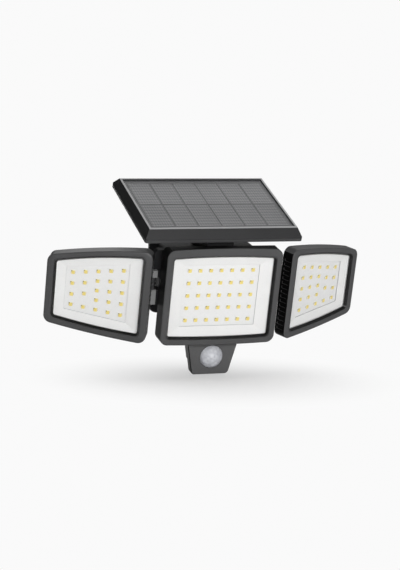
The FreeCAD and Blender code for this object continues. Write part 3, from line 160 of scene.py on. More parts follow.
class Finish:
    """The net of a material, or of the world, while it is put together."""

    def __init__(self, owner):
        self.owner = owner
        self.owner.use_nodes = True
        self.tree = owner.node_tree
        self.tree.nodes.clear()

    def node(self, kind, settings=None, sockets=None):
        node = self.tree.nodes.new(kind)
        for key, value in (settings or {}).items():
            setattr(node, key, value)
        for key, value in (sockets or {}).items():
            if isinstance(value, Wire):
                self.tree.links.new(value.socket, node.inputs[key])
            else:
                node.inputs[key].default_value = value
        return Node(self, node)

    def place(self):
        """Where a point of the piece is, in metres, at rest."""
        return self.node("ShaderNodeTexCoord")["Object"]

    def facing(self):
        """Which way the surface looks, in the piece's own frame."""
        return self.node("ShaderNodeTexCoord")["Normal"]

    def along(self, vector, direction, start=0.0):
        """How far a vector reaches along a direction, as a number."""
        sockets = {0: vector, 1: tuple(direction)}
        return self.node("ShaderNodeVectorMath", {"operation": "DOT_PRODUCT"}, sockets)["Value"] - start

    def noise(self, scale, detail=3.0):
        sockets = {"Vector": self.place(), "Scale": scale, "Detail": detail, "Roughness": 0.5}
        return self.node("ShaderNodeTexNoise", None, sockets)["Fac"]

    def between(self, low, high, factor):
        """A colour between two colours. Inputs 6 and 7 and output 2 are the node's colour ones."""
        settings = {"data_type": "RGBA", "clamp_factor": True}
        return self.node("ShaderNodeMix", settings, {0: factor, 6: low, 7: high})[2]

    def relief(self, height, depth):
        """Fine relief: a Bump node, its depth in metres."""
        sockets = {"Strength": 1.0, "Distance": depth, "Height": height}
        return self.node("ShaderNodeBump", None, sockets)["Normal"]

    def mixed(self, factor, first, second):
        """Two shaders, with factor as the share of the second."""
        return self.node("ShaderNodeMixShader", None, {0: factor, 1: first, 2: second})["Shader"]

    def output(self, shader, kind="ShaderNodeOutputMaterial"):
        """The end of the net."""
        self.node(kind, None, {"Surface": shader})
        return self.owner

    def surface(self, sockets):
        """The usual end: one Principled shader."""
        return self.output(self.node("ShaderNodeBsdfPrincipled", None, sockets)["BSDF"])


def new_finish(name):
    return Finish(bpy.data.materials.new(name))


print("finish class ready")

# %% [markdown]
# The housings are injection-moulded black plastic. The steel of the mould gives it a fine grain
# that breaks up reflections, and hands rub some patches smoother. A picture of such plastic
# could be wrapped round it, but it would stretch and end in seams. Two noises, measured in the
# piece's own space, have neither: a fine one as relief, and a broad one that shifts the
# roughness and the colour a little.

# %% Black moulded plastic
BROAD_NOISE, FINE_NOISE = (28.0, 4.0), (2600.0, 2.0)
GRAIN_DEEP = 0.00003


def moulded(name, colour, roughness, grain=1.0, zone=None, gloss=0.35):
    """Moulded plastic. zone gives a mask and the colour painted inside it; each zone here paints light or
    shade.
    """
    finish = new_finish(name)
    broad = finish.noise(*BROAD_NOISE)
    fine = finish.noise(*FINE_NOISE)
    light = tuple(1.20 * c for c in colour)
    dark = tuple(0.90 * c for c in colour)
    base = finish.between((*dark, 1), (*light, 1), broad)
    if zone:
        mask, inside = zone(finish)
        base = finish.between(base, (*inside, 1), mask)
    return finish.surface({
        "Base Color": base,
        "Roughness": roughness - 0.06 + broad * 0.12,
        "Specular IOR Level": gloss,
        "Normal": finish.relief(fine, GRAIN_DEEP * grain),
    })


print("recipe ready:", moulded.__name__)

# %% [markdown]
# One moulding isn't the same grey all over here. The walls that look away from the front get
# painted shade, the hinge ears get painted light, and the panel's tray gets a painted highlight on
# its top edge and a little painted light at the foot of its walls. Each could be a piece of its own
# with its own material, but the real one is a single moulding, so each is a mask on it: by the way
# that the surface looks, or by how far along the piece a point lies.

# %% Painted light and shade on a moulding
# The ears begin this far out from the middle of the light. Their middle and half height follow.
EARS_OUT, EARS_MIDDLE, EARS_HALF = 61.5 * MM, 4.5 * MM, 17.6 * MM
# Pale grey painted on the hinge ears: painted light.
EARS_PAINTED_LIGHT = (0.23, 0.23, 0.23)
# Heights over the panel's hinge where its painted rim highlight begins and the painted light on its foot
# ends.
RIM_FROM, FOOT_TO = 20.2 * MM, 11.5 * MM
# Pale grey painted on the tray's top edge: painted highlight.
RIM_PAINTED_HIGHLIGHT = (0.28, 0.28, 0.285)
TOP_TOO = 2.0


def painted_ear_light(finish):
    """Painted light: the hinge ears are painted paler than the rest of the rear housing, where light falls
    on them.
    """
    turn = LAMP.to_3x3()
    upward = turn @ Vector((0, 0, 1))
    middle = upward.dot(LAMP.translation) + EARS_MIDDLE
    across = finish.along(finish.place(), turn @ Vector((1, 0, 0))).math("ABSOLUTE")
    height = finish.along(finish.place(), upward, middle).math("ABSOLUTE")
    return (across > EARS_OUT) * (height < EARS_HALF), EARS_PAINTED_LIGHT


def painted_side_shade(place, dark=0.014, front_limit=0.5, top_limit=0.5):
    """Painted shade: what looks to the front or upward by less than the limits is painted darker.

    No surface reaches a top_limit of TOP_TOO, so with that one the top gets painted shade as well."""
    turn = place.to_3x3()

    def zone(finish):
        facing = finish.facing()
        front = finish.along(facing, turn @ Vector((0, -1, 0)))
        top = finish.along(facing, turn @ Vector((0, 0, 1)))
        return (front < front_limit) * (top < top_limit), (dark, dark, dark)

    return zone


def painted_rim_highlight(finish):
    """Painted highlight on the tray's top edge, and a little painted light on the lowest part of its
    walls.
    """
    upward = PANEL.to_3x3() @ Vector((0, 0, 1))
    height = finish.along(finish.place(), upward, upward.dot(PANEL.translation))
    level = finish.along(finish.facing(), upward)
    rim = (height > RIM_FROM) * (level > 0.5)
    # The rim gets the painted highlight in full, the foot a tenth of it as painted light.
    return rim + (height < FOOT_TO) * 0.10, RIM_PAINTED_HIGHLIGHT


print("zones ready: ears, sides, rim")

# %% [markdown]
# The same plastic gets a grey for each moulding. They could share one material, but the front
# frames catch light, the centre and right housings are duller, the sensor is a shade paler and
# the bracket is coarser, so each of these is named. Most also carry painted shade on the walls
# that look away from the front.

# %% The black mouldings
GREY = (0.062, 0.062, 0.063)
DULL = (0.078, 0.078, 0.079)
BLACK = moulded("black_moulded_plastic", GREY, 0.36)
BLACK_COATED = moulded("black_bracket_plastic", (0.024, 0.024, 0.026), 0.45, 1.5)
# The hinge ears of this moulding get painted light.
BLACK_HINGES = moulded("black_plastic_painted_light_ears", (0.015, 0.015, 0.016), 0.50, zone=painted_ear_light, gloss=0.12)
BLACK_TRAY = moulded("black_plastic_painted_rim_highlight", (0.022, 0.022, 0.023), 0.36, zone=painted_rim_highlight)
# Painted shade: the centre, side, sensor and frame mouldings below are painted darker on walls that look
# away from the front; the centre, the sensor and the frames on their tops as well.
BLACK_CENTRE = moulded("black_plastic_centre", DULL, 0.42, gloss=0.08,
                       zone=painted_side_shade(LAMP, 0.006, top_limit=TOP_TOO))
BLACK_LEFT = moulded("black_plastic_left", GREY, 0.36, zone=painted_side_shade(LEFT))
BLACK_RIGHT = moulded("black_plastic_right", DULL, 0.42, zone=painted_side_shade(RIGHT, 0.004), gloss=0.08)
BLACK_SENSOR = moulded("black_plastic_sensor", (0.095, 0.095, 0.096), 0.36,
                       zone=painted_side_shade(LAMP, 0.008, 0.97, TOP_TOO))
FRAME_FINISH = {key: moulded("black_frame_" + key, GREY, 0.36, zone=painted_side_shade(place, 0.006, 0.93, TOP_TOO))
                for key, place in (("centre", LAMP), ("left", LEFT), ("right", RIGHT))}
print("black plastics:", [material.name for material in bpy.data.materials if "black" in material.name])

# %% [markdown]
# The trays round the LEDs are white plastic, glossy enough to throw the light forward, and the
# boards are coated in white ink that is a shade duller. Plain white would look like paper. The
# flow of the plastic and a little dust show as the faintest cloudiness, so a noise moves both
# the white and the roughness.

# %% White tray and board
def clouded_white(name, low, high, cloud, roughness, grain):
    """cloud is a noise's scale and detail; roughness is its least value and its spread."""
    finish = new_finish(name)
    cloudy = finish.noise(*cloud)
    return finish.surface({
        "Base Color": finish.between((*low, 1), (*high, 1), cloudy),
        "Roughness": roughness[0] + cloudy * roughness[1],
        "Normal": finish.relief(finish.noise(grain), 0.00001),
    })


WHITE_TRAY = clouded_white("white_tray_plastic", (0.82, 0.82, 0.812), (0.88, 0.88, 0.872),
                           (60.0, 3.0), (0.34, 0.08), 900.0)
WHITE_BOARD = clouded_white("white_light_board", (0.80, 0.80, 0.795), (0.86, 0.86, 0.855),
                            (350.0, 4.0), (0.42, 0.10), 1800.0)
print("white finishes:", WHITE_TRAY.name, WHITE_BOARD.name)

# %% [markdown]
# The lenses and the panel's cover are flat sheets of clear plastic. A refracting shader is the
# usual way for clear things, but on a thin closed sheet it would put the tray behind it in
# shadow. So the sheet is see-through, and a Mix Shader adds only its share of gloss: little
# from straight ahead, more at a glancing angle, and uneven where the sheet is smeared.

# %% Clear sheets
WHITE = (1, 1, 1, 1)
AHEAD_GLOSS, SLANT_GLOSS = 0.04, 0.5


def clear_sheet(name, tint, roughness, shine):
    finish = new_finish(name)
    smear = finish.noise(40.0, 3.0)
    gloss = finish.node("ShaderNodeBsdfPrincipled", None, {
        "Base Color": (*tint, 1), "Metallic": 1.0, "Roughness": roughness + smear * 0.08})
    clear = finish.node("ShaderNodeBsdfTransparent", None, {"Color": WHITE})
    slant = finish.node("ShaderNodeLayerWeight", None, {"Blend": 0.5})["Facing"]
    angled = AHEAD_GLOSS + slant.math("POWER", 4.0) * SLANT_GLOSS
    share = angled * (shine * 0.9 + smear * shine * 0.2)
    return finish.output(finish.mixed(share, clear["BSDF"], gloss["BSDF"]))


LENS_CLEAR = clear_sheet("clear_lens_sheet", (0.95, 0.95, 0.95), 0.08, 0.35)
PANEL_CLEAR = clear_sheet("clear_panel_sheet", (0.95, 0.96, 0.98), 0.30, 0.2)
print("clear sheets:", LENS_CLEAR.name, PANEL_CLEAR.name)

# %% [markdown]
# The solar cells are dark silicon under a laminate whose fine diamond weave scatters light, so
# from a step away they look mid-grey. Each diamond could be modelled, but thousands of them are
# smaller than a pixel. Two sets of slanting waves, multiplied, make the same weave, and a dark
# border is drawn round each cell. Both are worked out in the panel's own plane, so they follow
# its slope.

# %% Solar cells
CELL_WIDE, CELL_HIGH, FIRST_ROW = 24.0, 46.5, 26.6
BORDER_WIDE, BORDER_HIGH = 1.1, 1.6
WEAVE_PITCH, WEAVE_SLANT = 5.2, 0.45
LAMINATE = (0.050, 0.050, 0.052)


def panel_plane(finish):
    """Distances in millimetres across and up the panel."""
    spot = finish.place()
    distances = []
    for direction in ((1, 0, 0), (0, 1, 0)):
        way = PANEL.to_3x3() @ Vector(direction)
        distances.append(finish.along(spot, way, way.dot(PANEL.translation)) / MM)
    return distances


def near_edge(distance, start, pitch, margin):
    """1 within the margin of the edges of a row of cells, 0 elsewhere."""
    share = ((distance - start) / pitch).math("FRACT")
    return (share - 0.5).math("ABSOLUTE") > 0.5 - margin / pitch


def solar_cell():
    finish = new_finish("solar_cell_weave")
    u, v = panel_plane(finish)
    upright = near_edge(u, 0.0, CELL_WIDE, BORDER_WIDE)
    level = near_edge(v, FIRST_ROW, CELL_HIGH, BORDER_HIGH)
    turn = 2 * math.pi / WEAVE_PITCH
    rising = ((u + v * WEAVE_SLANT) * turn).math("SINE")
    falling = ((u - v * WEAVE_SLANT) * turn).math("SINE")
    weave = rising * falling * 0.5 + 0.5
    cloud = finish.noise(25.0, 4.0)
    base = finish.between((0.010, 0.010, 0.012, 1), (0.145, 0.147, 0.153, 1), weave)
    base = finish.between(base, (0.075, 0.077, 0.080, 1), cloud * 0.2)
    return finish.surface({
        "Base Color": finish.between(base, (*LAMINATE, 1), upright.math("MAXIMUM", level)),
        "Roughness": 0.34 + weave * 0.12,
        "Normal": finish.relief(weave, 0.00004),
    })


SOLAR = solar_cell()
BACKSHEET = moulded("panel_backsheet_laminate", LAMINATE, 0.45, 0.5)
print("solar finishes:", SOLAR.name, BACKSHEET.name)

# %% [markdown]
# The small parts each have a finish that tells what they are: yellow phosphor in a cream
# package, zinc-plated screws, green boards, shrink-wrapped cells, grey silicone. Each could have
# its own net, but they differ only in colour, roughness and metal, so one recipe with a speckle
# serves them all.

# %% Small finishes
def speckled(name, low, high, roughness, metallic=0.0, scale=400.0):
    finish = new_finish(name)
    speck = finish.noise(scale, 4.0)
    return finish.surface({
        "Base Color": finish.between((*low, 1), (*high, 1), speck),
        "Roughness": roughness - 0.05 + speck * 0.1,
        "Metallic": metallic,
        "Normal": finish.relief(speck, 0.00001),
    })


PHOSPHOR = speckled("yellow_phosphor", (0.82, 0.64, 0.15), (0.92, 0.78, 0.24), 0.55, scale=1500.0)
PACKAGE = speckled("led_package_white", (0.78, 0.74, 0.62), (0.86, 0.82, 0.70), 0.42)
# Tin of the LED pads, also used for the dark corner block that is painted shade.
TIN_AND_SHADE = speckled("led_pad_tin_and_painted_shade", (0.26, 0.21, 0.11), (0.36, 0.30, 0.18), 0.45)
# Grey painted on the tray's lip: painted shade.
LIP_PAINTED_SHADE = speckled("tray_lip_painted_shade", (0.40, 0.40, 0.41), (0.48, 0.48, 0.49), 0.45)
STEEL = speckled("zinc_plated_steel", (0.46, 0.46, 0.45), (0.60, 0.60, 0.58), 0.33, 1.0)
TIN = speckled("tin_plate", (0.55, 0.55, 0.54), (0.70, 0.70, 0.68), 0.28, 1.0)
GREEN = speckled("green_circuit_board", (0.010, 0.10, 0.035), (0.020, 0.16, 0.060), 0.35)
WRAP = speckled("blue_battery_wrap", (0.02, 0.07, 0.22), (0.03, 0.10, 0.30), 0.30)
HOLDER = speckled("black_holder_plastic", (0.025, 0.025, 0.025), (0.04, 0.04, 0.04), 0.5)
SILICONE = speckled("grey_silicone", (0.42, 0.42, 0.42), (0.50, 0.50, 0.50), 0.55)
print("small finishes made")

# %% [markdown]
# The sensor looks out through milky plastic with many tiny lenses moulded inside. Modelling each
# would take more faces than the rest of the light. The cells of a Voronoi texture are the right
# size and shape, so they raise the plastic a little, and each cell is painted darker towards its
# edge as painted shade in the seams between the small lenses.

# %% Milky plastic
def milky():
    finish = new_finish("milky_lens_plastic")
    cells = finish.node("ShaderNodeTexVoronoi", {"feature": "SMOOTH_F1"}, {
        "Vector": finish.place(), "Scale": 260.0, "Smoothness": 0.35})["Distance"]
    return finish.surface({
        # Darker towards each cell's edge: painted shade in the seams.
        "Base Color": finish.between((0.66, 0.67, 0.70, 1), (0.46, 0.47, 0.51, 1), cells),
        "Roughness": 0.30 + cells * 0.12,
        "Normal": finish.relief(cells, 0.0006),
    })


MILKY = milky()
print("sensor finish:", MILKY.name)

# %% [markdown]
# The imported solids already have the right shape, so most of them only need a finish. It could
# be given by hand, node by node. The record already says which material slot each node belongs
# to, so that decides, and a node can't be forgotten.

# %% Finishes on the solids
BY_SLOT = {
    "black_plastic": BLACK, "black_coated": BLACK_COATED, "clear_plastic": LENS_CLEAR,
    "cover_clear": PANEL_CLEAR, "milky_plastic": MILKY, "white_plastic": WHITE_TRAY,
    "white_board": WHITE_BOARD, "led_yellow": PHOSPHOR, "grey_silicone": SILICONE,
    "green_board": GREEN, "battery_wrap": WRAP, "holder_plastic": HOLDER, "tin_plate": TIN,
    "steel": STEEL, "solar_blue": SOLAR, "backsheet": BACKSHEET,
}
SLOT_OF = {row["node"]: row["material_slot"] for row in frame["record"]["subparts"]}


def dress(thing, material):
    """Give a piece one material."""
    thing.data.materials.clear()
    thing.data.materials.append(material)


for node, thing in frame["nodes"].items():
    dress(thing, BY_SLOT[SLOT_OF[node]])
print("dressed", len(frame["nodes"]), "nodes")

# %% [markdown]
# A few pieces need more shape than their solid has, so a finer mesh is built and stands for it.
# Each new mesh takes the same steps: from bmesh to an object, onto its body, so that it moves
# with it, and in the place of its solid. Two helpers keep these steps in one place.

# %% From mesh to piece
def into_scene(name, work, materials):
    """An object of the scene, made from a bmesh."""
    mesh = bpy.data.meshes.new(name)
    work.to_mesh(mesh)
    work.free()
    for material in materials:
        mesh.materials.append(material)
    piece = bpy.data.objects.new(name, mesh)
    bpy.context.scene.collection.objects.link(piece)
    return piece


def stand_for(piece, body, node):
    """The piece rides on the body and is seen in the place of the node."""
    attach(piece, body)
    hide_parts(node)
    return piece


print("helpers ready")

# %% [markdown]
# A moulded edge is never razor sharp: it has a small radius that catches a line of light. The
# radius could be cut into the solids, but there it would only cost faces. So a copy of the solid
# is welded along its seams and gets a small bevel wherever two faces meet at an angle. A Bevel
# modifier does the whole piece at once and keeps the width easy to change.

# %% Soft edges for a moulded piece
SHARP_FROM = math.radians(28)
WELD = 0.000004


def softened(node, body, width, material):
    """A copy of a node with rounded edges, which stands for it."""
    work = bmesh.new()
    work.from_mesh(frame["nodes"][node].data)
    bmesh.ops.remove_doubles(work, verts=work.verts, dist=WELD)
    for face in work.faces:
        face.smooth = True
    for edge in work.edges:
        edge.smooth = not (edge.is_manifold and edge.calc_face_angle(0) > SHARP_FROM)
    piece = into_scene(node + "_skin", work, (material,))
    bevel = piece.modifiers.new("soft_edges", "BEVEL")
    bevel.width = width * MM
    bevel.segments = 2
    bevel.limit_method = "ANGLE"
    bevel.angle_limit = SHARP_FROM
    bevel.harden_normals = True
    bevel.use_clamp_overlap = True
    return stand_for(piece, body, node)


SOFT = [
    ("centre_housing", "lamp", 0.35, BLACK_CENTRE), ("rear_housing", "lamp", 0.4, BLACK_HINGES),
    ("left_housing", "left_head", 0.3, BLACK_LEFT), ("right_housing", "right_head", 0.3, BLACK_RIGHT),
    ("centre_lens_frame", "lamp", 0.15, FRAME_FINISH["centre"]),
    ("left_lens_frame", "left_head", 0.15, FRAME_FINISH["left"]),
    ("right_lens_frame", "right_head", 0.15, FRAME_FINISH["right"]),
    ("pir_front_shell", "lamp", 0.25, BLACK_SENSOR), ("pir_rear_shell", "lamp", 0.3, BLACK_SENSOR),
    ("panel_tray", "panel", 0.35, BLACK_TRAY),
    ("bracket_arm", "bracket", 0.5, BLACK_COATED), ("wall_plate", "bracket", 0.3, BLACK_COATED),
    ("panel_hinge_bracket", "panel", 0.3, BLACK_COATED),
]
for node, body, width, material in SOFT:
    softened(node, body, width, material)
print("softened", len(SOFT), "pieces")

# %% [markdown]
# The rim of a head and the mouth of its tray have the same kind of outline: four corners, with
# the top and bottom edges bowed out a little. Each could be drawn by hand, but they have to stay
# in step. One helper walks round such an outline and always gives the same number of points, so
# that two outlines can be joined by faces without any matching.

# %% Outline of a head
STEPS, ARC = 14, 6


class Outline:
    """Near and far ends, heights at both, and how far the top and bottom bow."""

    def __init__(self, hand, near, far, top_near, top_far, low_near, low_far, bow_top, bow_low):
        self.hand = hand
        self.ends = (near, far)
        self.top = (top_near, top_far)
        self.low = (low_near, low_far)
        self.bows = (bow_top, bow_low)

    def inset(self, side, top, low):
        run = self.ends[1] - self.ends[0]
        rise = (self.top[1] - self.top[0]) / run * side
        fall = (self.low[1] - self.low[0]) / run * side
        return Outline(self.hand, self.ends[0] + side, self.ends[1] - side,
                       self.top[0] + rise - top, self.top[1] - rise - top,
                       self.low[0] + fall + low, self.low[1] - fall + low, *self.bows)

    def ring(self, radius):
        """Points round the outline as (x, z), the corners rounded by radius."""
        corners = [Vector((self.ends[0], self.top[0])), Vector((self.ends[1], self.top[1])),
                   Vector((self.ends[1], self.low[1])), Vector((self.ends[0], self.low[0]))]
        bows = (self.bows[0], 0.0, self.bows[1], 0.0)
        centre = sum(corners, Vector((0, 0))) / 4

        def on_side(index, travel):
            """A point of a side, this far past its first corner, and bowed outward."""
            first, second = corners[index % 4], corners[(index + 1) % 4]
            along = (second - first).normalized()
            out = Vector((-along.y, along.x))
            if out.dot((first + second) / 2 - centre) < 0:
                out = -out
            share = 2 * travel / (second - first).length - 1
            return first + along * travel + out * bows[index % 4] * (1 - share * share)

        points = []
        for index in range(4):
            after = corners[(index + 1) % 4]
            straight = (after - corners[index]).length - 2 * radius
            points += [on_side(index, radius + straight * step / STEPS) for step in range(STEPS + 1)]
            turn_in, turn_out = points[-1], on_side(index + 1, radius)
            for step in range(1, ARC):
                t = step / ARC
                points.append(turn_in * (1 - t) ** 2 + after * 2 * t * (1 - t) + turn_out * t * t)
        return [(self.hand * p.x, p.y) for p in points]


print("points in each outline:", 4 * (STEPS + ARC))

# %% [markdown]
# The three heads differ only in outline and depth. Three sets of code could drift apart, so
# their sizes are kept in one table: the rim, how far the tray is drawn in at the side, the top
# and the bottom, how far in front of the frame's origin the board lies, how high the lens sits
# and where the LEDs are. The middle head has 35 LEDs in a plain grid. A side head has 23, in
# columns of five, five, five, four and four that follow the slope of its top and bottom.

# %% The three heads
CENTRE_RIM = Outline(1, -59.9, 59.9, 49.2, 49.2, -48.3, -48.3, 1.7, 1.3)
CENTRE_WINDOW = Outline(1, -39.5, 39.5, 31.8, 31.8, -31.8, -31.8, 0, 0)
CENTRE_PITCH = (11.0, 12.88)
SIDE_COLUMNS = (5, 5, 5, 4, 4)
SIDE_FIRST, SIDE_PITCH, SHORT_PITCH = 24.2, 12.4, 11.3
# The top and bottom LED of a side head's first column, and how fast both rows draw together.
TOP_LED, TOP_FALL = 21.35, 0.1653
LOW_LED, LOW_RISE = -24.65, 0.0907


def side_rim(hand):
    return Outline(hand, -3.6, 98.9, 46.3, 30.0, -49.2, -38.7, 2.1, 1.5)


def side_window(hand):
    return Outline(hand, 18.3, 80.5, 28.85, 18.45, -31.65, -25.35, 0, 0)


def centre_leds():
    across, up = CENTRE_PITCH
    return [((c - 3) * across, (r - 2) * up) for c in range(7) for r in range(5)]


def side_leds(hand):
    """A column of five is spread evenly. In one of four, all but the lowest keep a set pitch."""
    spots = []
    for column, count in enumerate(SIDE_COLUMNS):
        run = SIDE_PITCH * column
        top = TOP_LED - TOP_FALL * run
        low = LOW_RISE * run + LOW_LED
        pitch = (top - low) / (count - 1) if count == 5 else SHORT_PITCH
        spots += [(hand * (SIDE_FIRST + run), top - row * pitch) for row in range(count - 1)]
        spots.append((hand * (SIDE_FIRST + run), low))
    return spots


HEADS = {
    "centre": dict(body="lamp", place=LAMP, rim=CENTRE_RIM, inset=(5.8, 7.4, 5.8), front=0.0,
                   lens=5.6, window=CENTRE_WINDOW, leds=centre_leds()),
    "left": dict(body="left_head", place=LEFT, rim=side_rim(-1), inset=(7.0, 5.1, 6.0), front=13.84,
                 lens=5.0, window=side_window(-1), leds=side_leds(-1)),
    "right": dict(body="right_head", place=RIGHT, rim=side_rim(1), inset=(7.0, 5.1, 6.0), front=13.84,
                  lens=5.0, window=side_window(1), leds=side_leds(1)),
}
print("LEDs:", {key: len(head["leds"]) for key, head in HEADS.items()})

# %% [markdown]
# The white tray slopes from the lens down to the light board and ends in a thin upright lip,
# which shows as a fine grey line along the board where it stands in shade. It could be cut from a
# block with booleans. A skin through six rings gives the slope, the brim and the lip as real
# surfaces with clean faces, and the lip's band of faces is painted grey: painted shade.

# %% White trays
LIP = 1.2
SEAT = 0.02
LIP_BAND = 4
CREASE_FROM = math.radians(25)


def lofted(name, rings, place, materials, bands):
    """A closed skin through rings of (x, z) points, each at its own distance in front.

    bands gives the material number of each band of faces, 0 where it says nothing."""
    work = bmesh.new()
    rows = [[work.verts.new(place @ (Vector((x, -out, z)) * MM)) for x, z in points]
            for points, out in rings]
    for band, (first, second) in enumerate(zip(rows, rows[1:] + rows[:1])):
        for step in range(len(first)):
            after = (step + 1) % len(first)
            face = work.faces.new((first[step], first[after], second[after], second[step]))
            face.material_index = bands.get(band, 0)
    bmesh.ops.recalc_face_normals(work, faces=work.faces)
    for face in work.faces:
        face.smooth = True
    for edge in work.edges:
        edge.smooth = edge.calc_face_angle(0) < CREASE_FROM
    return into_scene(name, work, materials)


def tray(key):
    head = HEADS[key]
    side, up, low = head["inset"]
    outer, brim, mouth = [head["rim"].inset(side + edge, up + edge, low + edge).ring(radius)
                          for edge, radius in ((0.15, 3.8), (2.0, 2.6), (2.4, 2.4))]
    lip = head["window"].ring(0.8)
    seat = head["front"] + SEAT
    top = head["front"] + head["lens"] - 2.0
    rings = [(outer, seat), (outer, top), (brim, top), (mouth, top - 0.35),
             (lip, head["front"] + LIP), (lip, seat)]
    # The lip's band of faces is painted grey as painted shade.
    piece = lofted(key + "_tray", rings, head["place"], (WHITE_TRAY, LIP_PAINTED_SHADE), {LIP_BAND: 1})
    return stand_for(piece, head["body"], key + "_reflector")


for key in HEADS:
    piece = tray(key)
    print(piece.name, len(piece.data.polygons), "faces")

# %% [markdown]
# Each LED is a cream moulded package with a square pool of yellow phosphor and tin ends that are
# soldered to the board, and a dark block in one corner is painted shade for the package's shaded top
# and left walls. They could be 81 copies of one object, but nothing moves one alone, so all the LEDs
# of a head are one mesh: the same five blocks, set down at each place.

# %% LED packages
CREAM, YELLOW, SOLDER_AND_SHADE = range(3)
# Across and up from the middle of the LED, half width, half height, where it starts and ends
# above the board, taper and material.
LED_BLOCKS = [
    (0, 0, 2.0, 2.0, 0, 0.75, 0.12, CREAM),
    (0, 0, 1.6, 1.75, 0.75, 0.88, 0.1, YELLOW),
    (-1.95, 0, 0.22, 1.3, 0, 0.3, 0.05, SOLDER_AND_SHADE),
    (1.95, 0, 0.22, 1.3, 0, 0.3, 0.05, SOLDER_AND_SHADE),
    # The dark corner block: painted shade.
    (-1.25, 1.35, 0.6, 0.5, 0.80, 0.90, 0.05, SOLDER_AND_SHADE),
]


def block(work, place, x, z, half_x, half_z, low, high, taper, slot):
    """A small block on the board, its top drawn in by taper; slot picks the material."""

    def corners(out, wide, tall):
        return [work.verts.new(place @ (Vector((x + a * wide, -out, z + b * tall)) * MM))
                for a, b in ((-1, -1), (1, -1), (1, 1), (-1, 1))]

    base = corners(low, half_x, half_z)
    top = corners(high, half_x - taper, half_z - taper)
    faces = [work.faces.new(top)]
    for step in range(4):
        after = (step + 1) % 4
        faces.append(work.faces.new((base[step], base[after], top[after], top[step])))
    for face in faces:
        face.material_index = slot


def led_set(key):
    head = HEADS[key]
    board = head["front"]
    work = bmesh.new()
    for x, z in head["leds"]:
        for across, rise, half_x, half_z, low, high, taper, slot in LED_BLOCKS:
            block(work, head["place"], x + across, z + rise, half_x, half_z,
                  board + low, board + high, taper, slot)
    bmesh.ops.recalc_face_normals(work, faces=work.faces)
    piece = into_scene(key + "_led_set", work, (PACKAGE, PHOSPHOR, TIN_AND_SHADE))
    return stand_for(piece, head["body"], key + "_leds")


for key in HEADS:
    piece = led_set(key)
    print(piece.name, len(piece.data.polygons), "faces")

# %% [markdown]
# The sensor's lens bulges out as part of a ball, in flat facets. A sphere primitive would have
# thin slivers round its tip. Here the ball is a set of rings with more facets the wider they
# are, each turned half a facet from the one before, and a convex hull closes them. The back is
# taken off again and a short skirt added, which runs down into the shell.

# %% Faceted sensor lens
DOME_RADIUS, DOME_HIGH = 11.9, 8.0
SHELL_FRONT, EYE_LEVEL = 2.5, -66.7
SKIRT = 2.2
RING_FACETS = (6, 12, 18, 24, 24)


def dome():
    ball = (DOME_RADIUS ** 2 + DOME_HIGH ** 2) / (2 * DOME_HIGH)
    widest = math.asin(DOME_RADIUS / ball)
    tip = SHELL_FRONT - DOME_HIGH
    work = bmesh.new()
    rows = []
    for step, count in enumerate(RING_FACETS, start=1):
        tilt = widest * step / len(RING_FACETS)
        row = []
        for turn in range(count):
            angle = 2 * math.pi * (turn + 0.5 * (step % 2)) / count
            x, z = ball * math.sin(tilt) * math.cos(angle), ball * math.sin(tilt) * math.sin(angle)
            y = tip + ball - ball * math.cos(tilt)
            row.append(work.verts.new(LAMP @ (Vector((x, y, EYE_LEVEL + z)) * MM)))
        rows.append(row)
    apex = work.verts.new(LAMP @ (Vector((0, tip, EYE_LEVEL)) * MM))
    skirt = [work.verts.new(v.co + (LAMP.to_3x3() @ Vector((0, SKIRT * MM, 0)))) for v in rows[-1]]
    bmesh.ops.convex_hull(work, input=[apex] + [v for row in rows for v in row])
    upright = LAMP.to_3x3().inverted()
    back = [face for face in work.faces if (upright @ face.normal).y > 0.95]
    bmesh.ops.delete(work, geom=back, context="FACES_ONLY")
    for step in range(len(skirt)):
        after = (step + 1) % len(skirt)
        work.faces.new((rows[-1][step], rows[-1][after], skirt[after], skirt[step]))
    bmesh.ops.recalc_face_normals(work, faces=work.faces)
    piece = into_scene("sensor_dome", work, (MILKY,))
    bevel = piece.modifiers.new("facet_edges", "BEVEL")
    bevel.width = 0.12 * MM
    bevel.segments = 2
    bevel.limit_method = "NONE"
    return stand_for(piece, "lamp", "pir_lens")


print(dome().name, "made")

# %% [markdown]
# The photograph is a studio shot on a white sweep. Close under the light the floor is shaded,
# and further out it is one even white. A floor that is bright enough to be white all over would
# throw light up at the heads. So the floor is a real, pale surface that takes the shadow. For
# the camera alone an even white is mixed in, about half at the foot and all of it further out.

# %% Floor
# The middle and the half lengths of the shaded patch, in metres across and back.
FOOT = (-0.005, -0.115)
SHADED = (0.17, 0.22)
PALE = 0.955
EVEN_FROM, EVEN_AT_FOOT = 1.1, 0.46
GROUND = solid_box[0][2] - 1.0 * MM


def floor_finish():
    """Real and shaded close under the light, an even white further out."""
    finish = new_finish("pale_floor")
    seen = finish.node("ShaderNodeLightPath")["Is Camera Ray"]
    wide = finish.along(finish.place(), (1 / SHADED[0], 0, 0), FOOT[0] / SHADED[0])
    deep = finish.along(finish.place(), (0, 1 / SHADED[1], 0), FOOT[1] / SHADED[1])
    away = (wide * wide + deep * deep).math("SQRT")
    share = finish.node("ShaderNodeMapRange", {"interpolation_type": "SMOOTHSTEP", "clamp": True}, {
        0: away, 1: 0.0, 2: EVEN_FROM, 3: EVEN_AT_FOOT, 4: 1.0})["Result"]
    lit = finish.node("ShaderNodeBsdfPrincipled", None, {
        "Base Color": (0.80, 0.80, 0.80, 1), "Roughness": 0.9, "Specular IOR Level": 0.1})
    even = finish.node("ShaderNodeEmission", None, {"Color": WHITE, "Strength": PALE})
    return finish.output(finish.mixed(share * seen, lit["BSDF"], even["Emission"]))


